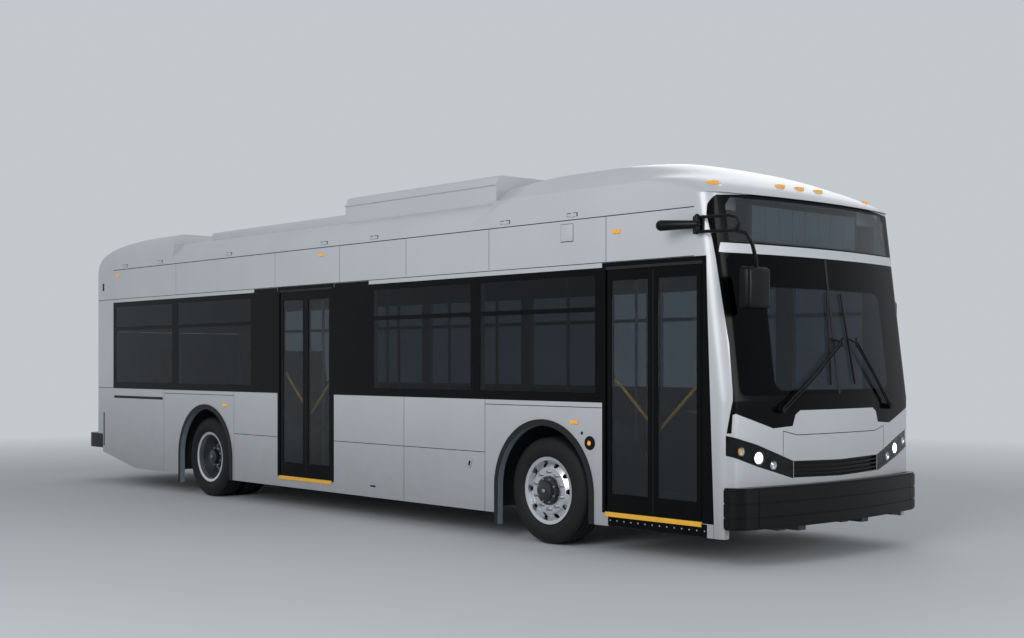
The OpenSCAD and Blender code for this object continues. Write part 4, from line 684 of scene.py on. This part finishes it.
def in_cap_seam(face):
    """The floor of the two level grooves across the tail, painted dark grey as the shade in them."""
    mid = face.calc_center_median()
    level = any(low < mid.z < high for low, high in TAIL_SEAMS)
    return level and abs(face.normal.z) < UPRIGHT and mid.x < TAIL_START


def in_nose_line(face):
    """The floor of a line pressed into the nose, painted dark grey as the shadow in the gap."""
    for v in face.verts:
        deep = nose_at(v.co.y / MM) * MM + AXLE_F[0] - v.co.x
        if not NOSE_LINE_DEPTH[0] < deep < NOSE_LINE_DEPTH[1] or v.co.z > NOSE_TOP:
            return False
    return face.normal.x > FACING


def lined(face):
    """The inner side of a wall or a roof, covered with laminate in a dark grey that is painted shade."""
    mid = face.calc_center_median()
    if mid.z > CEILING and face.normal.z < -FACING and abs(mid.y) < CEILING_HALF:
        return True
    return LINED_DEPTH[0] < abs(mid.y) < LINED_DEPTH[1] and face.normal.y * mid.y < -FACING * abs(mid.y)


def on_handle(face):
    """The pull bar inside a door leaf."""
    return face.calc_center_median().y > HANDLE_OUTSIDE


def toward_axle(face):
    """The inner flange of an arch rubber, which takes a light blue-grey painted highlight."""
    mid = face.calc_center_median()
    hub = Vector(AXLE_F if mid.x > MIDWAY else AXLE_R)
    inward = Vector((hub.x - mid.x, 0.0, hub.z - mid.z))
    return inward.length > 0.0 and face.normal.dot(inward.normalized()) > ROUGHLY_FACING


def in_dish(face):
    """The deep inside of a rear rim, in a darker alloy."""
    mid = face.calc_center_median()
    return math.hypot(mid.x - AXLE_R[0], mid.z - AXLE_R[2]) < DISH_RADIUS and abs(mid.y) < DISH_LIP


def proud_of(disc, hub, ring):
    """A test for faces between two radii that stand proud of a wheel disc."""
    def test(face):
        mid = face.calc_center_median()
        return ring[0] < math.hypot(mid.x - hub[0], mid.z - hub[2]) < ring[1] and abs(mid.y) > disc
    return test


PARTS = {
    "roof_panel": [(PAINTED_SHADE_LINING, lined)],
    "front_cap": [(PAINTED_SHADE_LINING, lined)],
    "rear_cap": [(PAINTED_GAP_SHADOW, in_cap_seam), (MOULDED_BLACK, in_vent)],
    "nose_panel": [(PAINTED_GAP_SHADOW, in_nose_line)],
    "arch_trims": [(PAINTED_HIGHLIGHT_RUBBER, toward_axle)],
}
CUTS = {}
for letter in "abcd":
    PARTS["leaf_" + letter] = [(YELLOW, on_handle)]
for hand, side in HANDS:
    wall, front, rear = "wall_" + hand, "rim_front_" + hand, "rims_rear_" + hand
    CUTS[wall] = [((0, 0, height), UP) for height in BAND_HEIGHTS]
    CUTS[rear] = [((0, side * DISH_LIP, 0), (0, 1, 0))]
    PARTS[wall] = [(PAINTED_GAP_SHADOW, in_seam), (MOULDED_BLACK, in_vent), (PAINTED_SHADE_LINING, lined), (GLOSS_BLACK, in_band)]
    PARTS[front] = [(ENAMEL, proud_of(DISC_F, AXLE_F, HUB)), (ZINC, proud_of(DISC_F, AXLE_F, NUTS))]
    PARTS[rear] = [(DARKER_DISH_ALLOY, in_dish), (ENAMEL, proud_of(DISC_R, AXLE_R, HUB)),
                   (ZINC, proud_of(DISC_R, AXLE_R, NUTS))]
for node in sorted(BODY_OF):
    if node != "driver_seat":
        dress(node, PARTS.get(node, ()), CUTS.get(node, ()))


# Front end

SIGN_FRONT, SIGN_HALF = 1880, 775
TILE_PITCH, TILE_WIDE, TILE_GAP = 183.0, 180.0, 1.5


def make_sign():
    """The destination display: a shallow case hung from the roof header, with an unlit panel in its front."""
    form = bmesh.new()
    block(form, (1753, -SIGN_HALF, 2592), (SIGN_FRONT, SIGN_HALF, 2955), 6)
    surround(form, 2 * SIGN_HALF, 350, 26, 14, stand(at(SIGN_FRONT, 0, 2764), FORWARD, UP))
    close_and_settle("sign_case", form, 30.0, SHELL, "black_plastic", MOULDED_BLACK)
    form = bmesh.new()
    for tile in range(-4, 4):
        y = tile * TILE_PITCH + TILE_GAP
        block(form, (SIGN_FRONT + 0.5, y, 2618), (SIGN_FRONT + 6, y + TILE_WIDE, 2908), 2)
    close_and_settle("sign_tiles", form, None, SHELL, "dark_plastic", TILES)


def make_screen_divider():
    """The rubber strip over the joint of the two panes, with its tongue between them."""
    form = bmesh.new()
    low, high = screen_at(0, 1366, 0.5), screen_at(0, 2482, 0.5)
    run = high - low
    length = run.length / MM
    place = stand(low, run.cross(DOORWARD), run)
    block(form, (-14, 0, 0), (14, length, 4), 1.8, place)
    block(form, (-2.4, 0, -8), (2.4, length, 1), 0.4, place)
    close_and_settle("screen_divider", form, None, SHELL, "black_rubber", RUBBER)


# A headlamp's outline as distance from the middle and height, and its units with their radius
LAMP_EDGE = [(600, 690), (600, 832), (1000, 975), (1275, 1052), (1275, 895), (1000, 802)]
LAMP_UNITS = [(1152, 925, 42), (972, 868, 62), (815, 805, 44)]
LAMP_MIDDLE = Vector((0.0, 0.9375, 0.871))
LAMP_SPAN = (1.0, 0.70, 0.38)
# In millimetres: the cover's gap in its housing, its depth in the nose and its thickness
COVER_GAP, COVER_SUNK, COVER_THICK = 2.5, 0.6, 2.6


def make_lamp_cover(side, name):
    """A clear cover that follows the nose, cut to the lamp's outline."""
    form = bmesh.new()
    grid = bmesh.ops.create_grid(form, x_segments=44, y_segments=20, size=0.5)["verts"]
    bmesh.ops.transform(form, matrix=stand(Vector(), FORWARD, UP), verts=grid)
    bmesh.ops.scale(form, vec=LAMP_SPAN, verts=grid)
    bmesh.ops.translate(form, vec=LAMP_MIDDLE, verts=grid)
    for one, two in zip(LAMP_EDGE, LAMP_EDGE[1:] + LAMP_EDGE[:1]):
        run = Vector((0.0, two[0] - one[0], two[1] - one[1])).normalized()
        out = Vector((0.0, -run.z, run.y))
        spot = Vector((0.0, one[0] * MM, one[1] * MM))
        if out.dot(spot - LAMP_MIDDLE) < 0.0:
            out = -out
        bmesh.ops.bisect_plane(form, geom=form.verts[:] + form.edges[:] + form.faces[:],
                               plane_co=spot - out * (COVER_GAP * MM), plane_no=out, clear_outer=True)
    for v in form.verts:
        v.co = Vector(((nose_at(v.co.y / MM) - COVER_SUNK) * MM + AXLE_F[0], v.co.y * side, v.co.z))
    for face in form.faces:
        face.normal_update()
        if face.normal.x < 0.0:
            face.normal_flip()
    bmesh.ops.solidify(form, geom=form.faces[:], thickness=COVER_THICK * MM)
    close_and_settle(name, form, 40.0, SHELL, "glass", CLEAR_COVER)


def make_lamp_units(side, name):
    """Reflectors, the lit main lens in its ring, an amber bulb and an inner bulb, each square to the nose."""
    chrome, lit, amber, dark = range(4)
    main, outer = LAMP_UNITS[1], LAMP_UNITS[0]
    form = bmesh.new()
    for unit in LAMP_UNITS:
        y, z, r = unit
        lean = math.asin(y / NOSE_BOW)
        out = Vector((math.cos(lean), side * math.sin(lean), 0.0))
        spot = at(nose_at(y), side * y, z)
        bowl = [(r - 8, -13), (r - 10, -14), (r - 16, -22), (r - 26, -27), (0, -27.5)]
        turned(form, bowl, spot, out, finish=chrome)
        if unit == main:
            lens = [(44, -24), (44, -17), (39, -11), (27, -7.5), (13, -6), (0, -5.5)]
            turned(form, lens, spot, out, finish=lit)
            turned(form, [(51, -20), (51, -13), (46, -11), (45, -14), (45, -22)], spot, out, finish=dark)
        elif unit == outer:
            turned(form, [(15, -27), (15, -16), (12, -11), (6, -8.5), (0, -8)], spot, out, finish=amber)
        else:
            turned(form, [(17, -27), (17, -20), (13, -15), (6, -12.5), (0, -12)], spot, out, finish=chrome)
    close_and_settle(name, form, 40.0, SHELL, "glass", CHROME, LIT, AMBER, DARK_ABS)


# Name, middle of the head, and width and height of each mirror, in millimetres
MIRRORS = (("mirror_glass_right", (2240, -1150, 2205), 252, 288),
           ("mirror_glass_left", (1795, 1408, 2010), 144, 336))
MIRROR_BACK, MIRROR_EDGE = 34.2, 13


def make_mirror_glass():
    """Silvered plates in the backs of the two mirror heads."""
    for name, (x, y, z), wide, tall in MIRRORS:
        form = bmesh.new()
        place = stand(at(x - MIRROR_BACK, y, z), REARWARD, UP)
        surround(form, wide, tall, 12, 3, place, 30.0, 1)
        right, top = wide / 2 - MIRROR_EDGE, tall / 2 - MIRROR_EDGE
        block(form, (-right, -top, 0), (right, top, 1.8), 0.8, place, 0)
        close_and_settle(name, form, None, SHELL, "black_plastic", SILVERED, RUBBER)


DASH_RAIL_X = 1860
DASH_RAIL_BEND = [(-470, 1291), (-470, 1350), (-462, 1370), (-444, 1380),
                  (-236, 1380), (-218, 1370), (-210, 1350), (-210, 1291)]


def make_dash_rail():
    """A grab rail on two feet beside the doorway."""
    form = bmesh.new()
    tube(form, [at(DASH_RAIL_X, y, z) for y, z in DASH_RAIL_BEND], 14)
    for y in (DASH_RAIL_BEND[0][0], DASH_RAIL_BEND[-1][0]):
        turned(form, [(0, 0), (30, 0), (30, 4), (16, 9), (14.5, 20)], at(DASH_RAIL_X, y, 1290.5), UP)
    close_and_settle("dash_rail", form, 35.0, SHELL, "yellow_paint", YELLOW)


make_sign()
make_screen_divider()
for hand, side in HANDS:
    make_lamp_cover(side, "headlamp_cover_" + hand)
    make_lamp_units(side, "headlamp_units_" + hand)
make_mirror_glass()
make_dash_rail()


# Sides and roof

def make_side_skin():
    """A tree that finds where a line from the side meets the body."""
    form = bmesh.new()
    for node in ("wall_right", "wall_left", "roof_panel", "front_cap", "rear_hump"):
        form.from_mesh(frame["nodes"][node].data)
    tree = BVHTree.FromBMesh(form)
    form.free()
    return tree


SIDE_SKIN = make_side_skin()
WELL_OUTSIDE = 1500
LATCHES = (-8054, -7087, -5389, -3417, -2515, -501, 372)
LATCH_HEIGHT = 2912


def on_side(x, z, side):
    """A turn that sets a piece on the body side at a length and a height."""
    spot, out = SIDE_SKIN.ray_cast(at(x, side * WELL_OUTSIDE, z), Vector((0, -side, 0)))[:2]
    return stand(spot, out, UP)


def make_roof_latches():
    """Arched lids along the roof edge, on seats painted as the shadow gap round them."""
    form = bmesh.new()
    for x in LATCHES:
        for side in (-1, 1):
            place = on_side(x, LATCH_HEIGHT, side)
            # The seat is painted shadow grey and larger than the lid, so it shows round the lid's top and
            # sides as a painted shadow gap.
            block(form, (-66, -18, 0.2), (66, 16, 2), 0.8, place, 1)
            knob = place @ Vector((0.0, -6.0 * MM, 0.0))
            turned(form, [(0, 1), (21, 1), (21, 5), (16, 8), (0, 9)], knob, place.to_3x3() @ UP, steps=20)
            block(form, (-58, -17, 1), (58, 9, 8), 3.4, place, 0)
    close_and_settle("roof_latches", form, 35.0, SHELL, "body_paint", PAINT, PAINTED_GAP_SHADOW)


# A rear corner of the hump lies behind, outside and below this place, in metres
HUMP_CORNER = (-5.05, 0.85, 3.06)


def make_hump_fillers():
    """Fillers in the rear corners of the roof hump, which its hollow leaves open, 1 mm under the skin."""
    form = bmesh.new()
    skin = bmesh.new()
    skin.from_mesh(frame["nodes"]["rear_hump"].data)
    x, y, z = HUMP_CORNER
    for side in (-1, 1):
        inward = Vector((1.0, -side, -1.0)) * MM
        near = [v.co + inward for v in skin.verts if v.co.x < x and side * v.co.y > y and v.co.z < z]
        hull = bmesh.ops.convex_hull(form, input=[form.verts.new(spot) for spot in near])
        spare = {v for v in hull["geom_interior"] + hull["geom_unused"] if isinstance(v, bmesh.types.BMVert)}
        bmesh.ops.delete(form, geom=list(spare), context="VERTS")
    skin.free()
    close_and_settle("hump_corner_fillers", form, SKIN_CREASE, SHELL, "body_paint", PAINT)


def make_side_fittings():
    """Small fittings of the door side, in paint, painted shadow grey and black plastic."""
    paint, gap_shadow, black = range(3)
    side = HANDS[0][1]
    form = bmesh.new()
    # Roof hatch, on a dark plate that shows round it, most of all below it, as a painted shadow
    place = on_side(310, 2756, side)
    block(form, (-79, -80, 0.2), (79, 79, 1.2), 0.5, place, gap_shadow)
    block(form, (-75, -73, 0.6), (75, 75, 4), 1.5, place, paint)
    # Filler latch
    place = on_side(-996, 675, side) @ Matrix.Rotation(math.radians(-22.0), 4, "Z")
    block(form, (-24, -44, 0.2), (24, 44, 7), 3, place, paint)
    block(form, (-12, -22, 6), (12, 26, 8), 0.9, place, black)
    # Drain slot
    place = on_side(-2533, 355, side)
    surround(form, 104, 32, 6, 3, place, 12.0, black)
    block(form, (-44, -9, 0.2), (44, 9, 1), 0.4, place, black)
    # Reflector dot
    place = on_side(495, 1015, side)
    dot = [(14, 0.3), (14, 3), (11, 5), (0, 5.5)]
    turned(form, dot, place.translation, DOORWARD, steps=20, finish=black)
    # Ring round the side lamp at 592; the skin beside the lamp gives its depth
    place = on_side(660, 933, side)
    middle = Vector((at(592, 0, 0).x, place.translation.y, place.translation.z))
    ring = [(34.8, 0.3), (60, 0.3), (60, 7), (54, 14), (40, 16), (23, 15), (21, 13.5), (21, 12.4),
            (34.8, 12.4), (34.8, 0.3)]
    turned(form, ring, middle, DOORWARD, finish=black)
    close_and_settle("side_fittings", form, 35.0, SHELL, "body_paint", PAINT, PAINTED_GAP_SHADOW, MOULDED_BLACK)


RIVETS, RIVET_START, RIVET_PITCH = 14, 832, 79


def make_ramp_rivets():
    """Domed rivets along the folded ramp's edge plate."""
    form = bmesh.new()
    for i in range(RIVETS):
        spot = at(RIVET_START + i * RIVET_PITCH, -1295.2, 290)
        turned(form, [(8, 0), (7.5, 1.6), (5, 3.2), (0, 3.8)], spot, DOORWARD, steps=12)
    close_and_settle("ramp_rivets", form, 50.0, SHELL, "wheel_alloy", ZINC)


NOSING_SHORT, NOSING_RIBS, RIB_TALL = 2, (330, 338, 346), 4


def make_step_nosings():
    """Ribbed yellow angles along the outer edges of the two steps."""
    form = bmesh.new()
    for start, end in DOORWAYS:
        x0, x1 = start + NOSING_SHORT, end - NOSING_SHORT
        block(form, (x0, -1303.6, 322), (x1, -1301.2, 360), 0.9)
        for z in NOSING_RIBS:
            block(form, (x0 + 8, -1304.6, z), (x1 - 8, -1303, z + RIB_TALL), 0.6)
        block(form, (x0, -1303.6, 359.2), (x1, -1292, 361), 0.6)
    close_and_settle("step_nosings", form, None, SHELL, "yellow_paint", YELLOW)


make_roof_latches()
make_hump_fillers()
make_side_fittings()
make_ramp_rivets()
make_step_nosings()


# Doors and wheels

# Ends of each leaf, and whether its meeting edge is the front one
LEAVES = {"leaf_a": (789, 1300, True), "leaf_b": (1310, 1821, False),
          "leaf_c": (-4282, -3788, True), "leaf_d": (-3778, -3284, False)}
LEAF_BORDER, LIP_WIDE, LIP_GAP = 31, 4.0, 0.1
BOLTS, BOLT_RING = 8, 108.0


def make_leaf_seals(leaf, x0, x1, meets_in_front):
    """The glazing rubber of a door leaf, and the soft lip on its meeting edge."""
    form = bmesh.new()
    place = stand(at((x0 + x1) / 2.0, -1286.2, 1415), DOORWARD, UP)
    surround(form, x1 - x0 - 2 * LEAF_BORDER, 1838, 22, 3.5, place, 40.0)
    lip = x1 + LIP_GAP if meets_in_front else x0 - LIP_GAP - LIP_WIDE
    block(form, (lip, -1285, 372), (lip + LIP_WIDE, -1251, 2398), 1.2)
    close_and_settle(leaf + "_seals", form, None, BODY_OF[leaf], "black_rubber", RUBBER)


def make_door_brushes():
    """Brush seals that close the slot over the door leaves, outside the arms."""
    form = bmesh.new()
    for start, end in DOORWAYS:
        block(form, (start, -1294, 2409), (end, -1288, 2434.8), 1.0)
    close_and_settle("door_brushes", form, None, SHELL, "black_rubber", RUBBER)


def make_hub_cap(node, hub, side, seat, shoulder):
    """A domed cap with a nut on it, and a ring of bolts on a wheel hub."""
    enamel, zinc = range(2)
    form = bmesh.new()
    out = Vector((0, side, 0))
    middle = Vector((hub[0], side * seat * MM, hub[2]))
    dome = [(84, 0.2), (82, 6), (62, 13), (40, 17), (18, 18.5), (0, 19)]
    turned(form, dome, middle, out, finish=enamel)
    turned(form, [(20, 17.8), (19, 23), (16, 25), (0, 25.5)], middle, out, steps=12, finish=zinc)
    bolt = [(11, -4), (11, 4), (8.5, 5), (8.5, 12), (7, 13.5), (0, 14)]
    reach = BOLT_RING * MM
    for i in range(BOLTS):
        turn = math.radians((i + 0.5) * 360.0 / BOLTS)
        along, rise = reach * math.cos(turn), reach * math.sin(turn)
        spot = Vector((hub[0] + along, side * shoulder * MM, hub[2] + rise))
        turned(form, bolt, spot, out, steps=6, finish=zinc)
    close_and_settle(node + "_cap", form, 35.0, BODY_OF[node], "chassis_steel", ENAMEL, ZINC)


make_door_brushes()
for leaf, ends in LEAVES.items():
    make_leaf_seals(leaf, *ends)
for hand, side in HANDS:
    make_hub_cap("rim_front_" + hand, AXLE_F, side, 1264.5, 1247.0)
    make_hub_cap("rims_rear_" + hand, AXLE_R, side, 1184.5, 1135.5)


# Driver's seat

# How far a pad's sides pull in, how tightly it is filled, and how often it is subdivided
PULL, FILL, ROUNDING = 0.035, 0.7, 2
ALL_SMOOTH = 180.0
BELLOWS, BELLOWS_PITCH, BELLOWS_TALL, BELLOWS_FOOT = 6, 58, 52, 380


def make_pad(name, low, high, lean, crown):
    """A foam cushion under cloth: full in the middle and pulled in between its corners."""
    form = bmesh.new()
    low, high = Vector(low), Vector(high)
    bmesh.ops.create_cube(form, size=1.0)
    bmesh.ops.subdivide_edges(form, edges=form.edges[:], cuts=7, use_grid_fill=True)
    for v in form.verts:
        u, w, t = v.co * 2.0
        full = (1.0 - u * u) * (1.0 - w * w)
        pull = PULL * (1.0 - abs(u * w))
        rise = crown * full if t > 0 else 0.0
        v.co = Vector((v.co.x * (1.0 - pull * w * w), v.co.y * (1.0 - pull * u * u), v.co.z * (1.0 + rise)))
    bmesh.ops.scale(form, vec=(high - low) * MM, verts=form.verts)
    place = Matrix.Translation(at(*((low + high) / 2.0)))
    bmesh.ops.transform(form, matrix=place @ lean, verts=form.verts)
    piece = close_and_settle(name, form, ALL_SMOOTH, SHELL, "seat_fabric", CLOTH)
    round_off = piece.modifiers.new("round", "SUBSURF")
    round_off.levels = ROUNDING
    round_off.render_levels = ROUNDING


def make_driver_seat():
    """A sprung pedestal seat: bellows, pan, cushion and a leaning back."""
    form = bmesh.new()
    block(form, (880, 540, 350.3), (1120, 760, BELLOWS_FOOT), 8)
    for i in range(BELLOWS):
        z = BELLOWS_FOOT + i * BELLOWS_PITCH
        block(form, (905, 565, z), (1095, 735, z + BELLOWS_TALL), 22)
    block(form, (800, 450, 730), (1200, 850, 778), 14)
    base = close_and_settle("driver_seat_base", form, 40.0, SHELL, "dark_plastic", DARK_ABS)
    make_pad("driver_seat_cushion", (790, 432, 779), (1236, 868, 872), Matrix.Identity(4), 0.16)
    lean = Matrix.Rotation(math.radians(97.0), 4, "Y")
    make_pad("driver_seat_back", (462, 446, 1170), (1102, 854, 1250), lean, 0.2)
    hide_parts("driver_seat")


make_driver_seat()
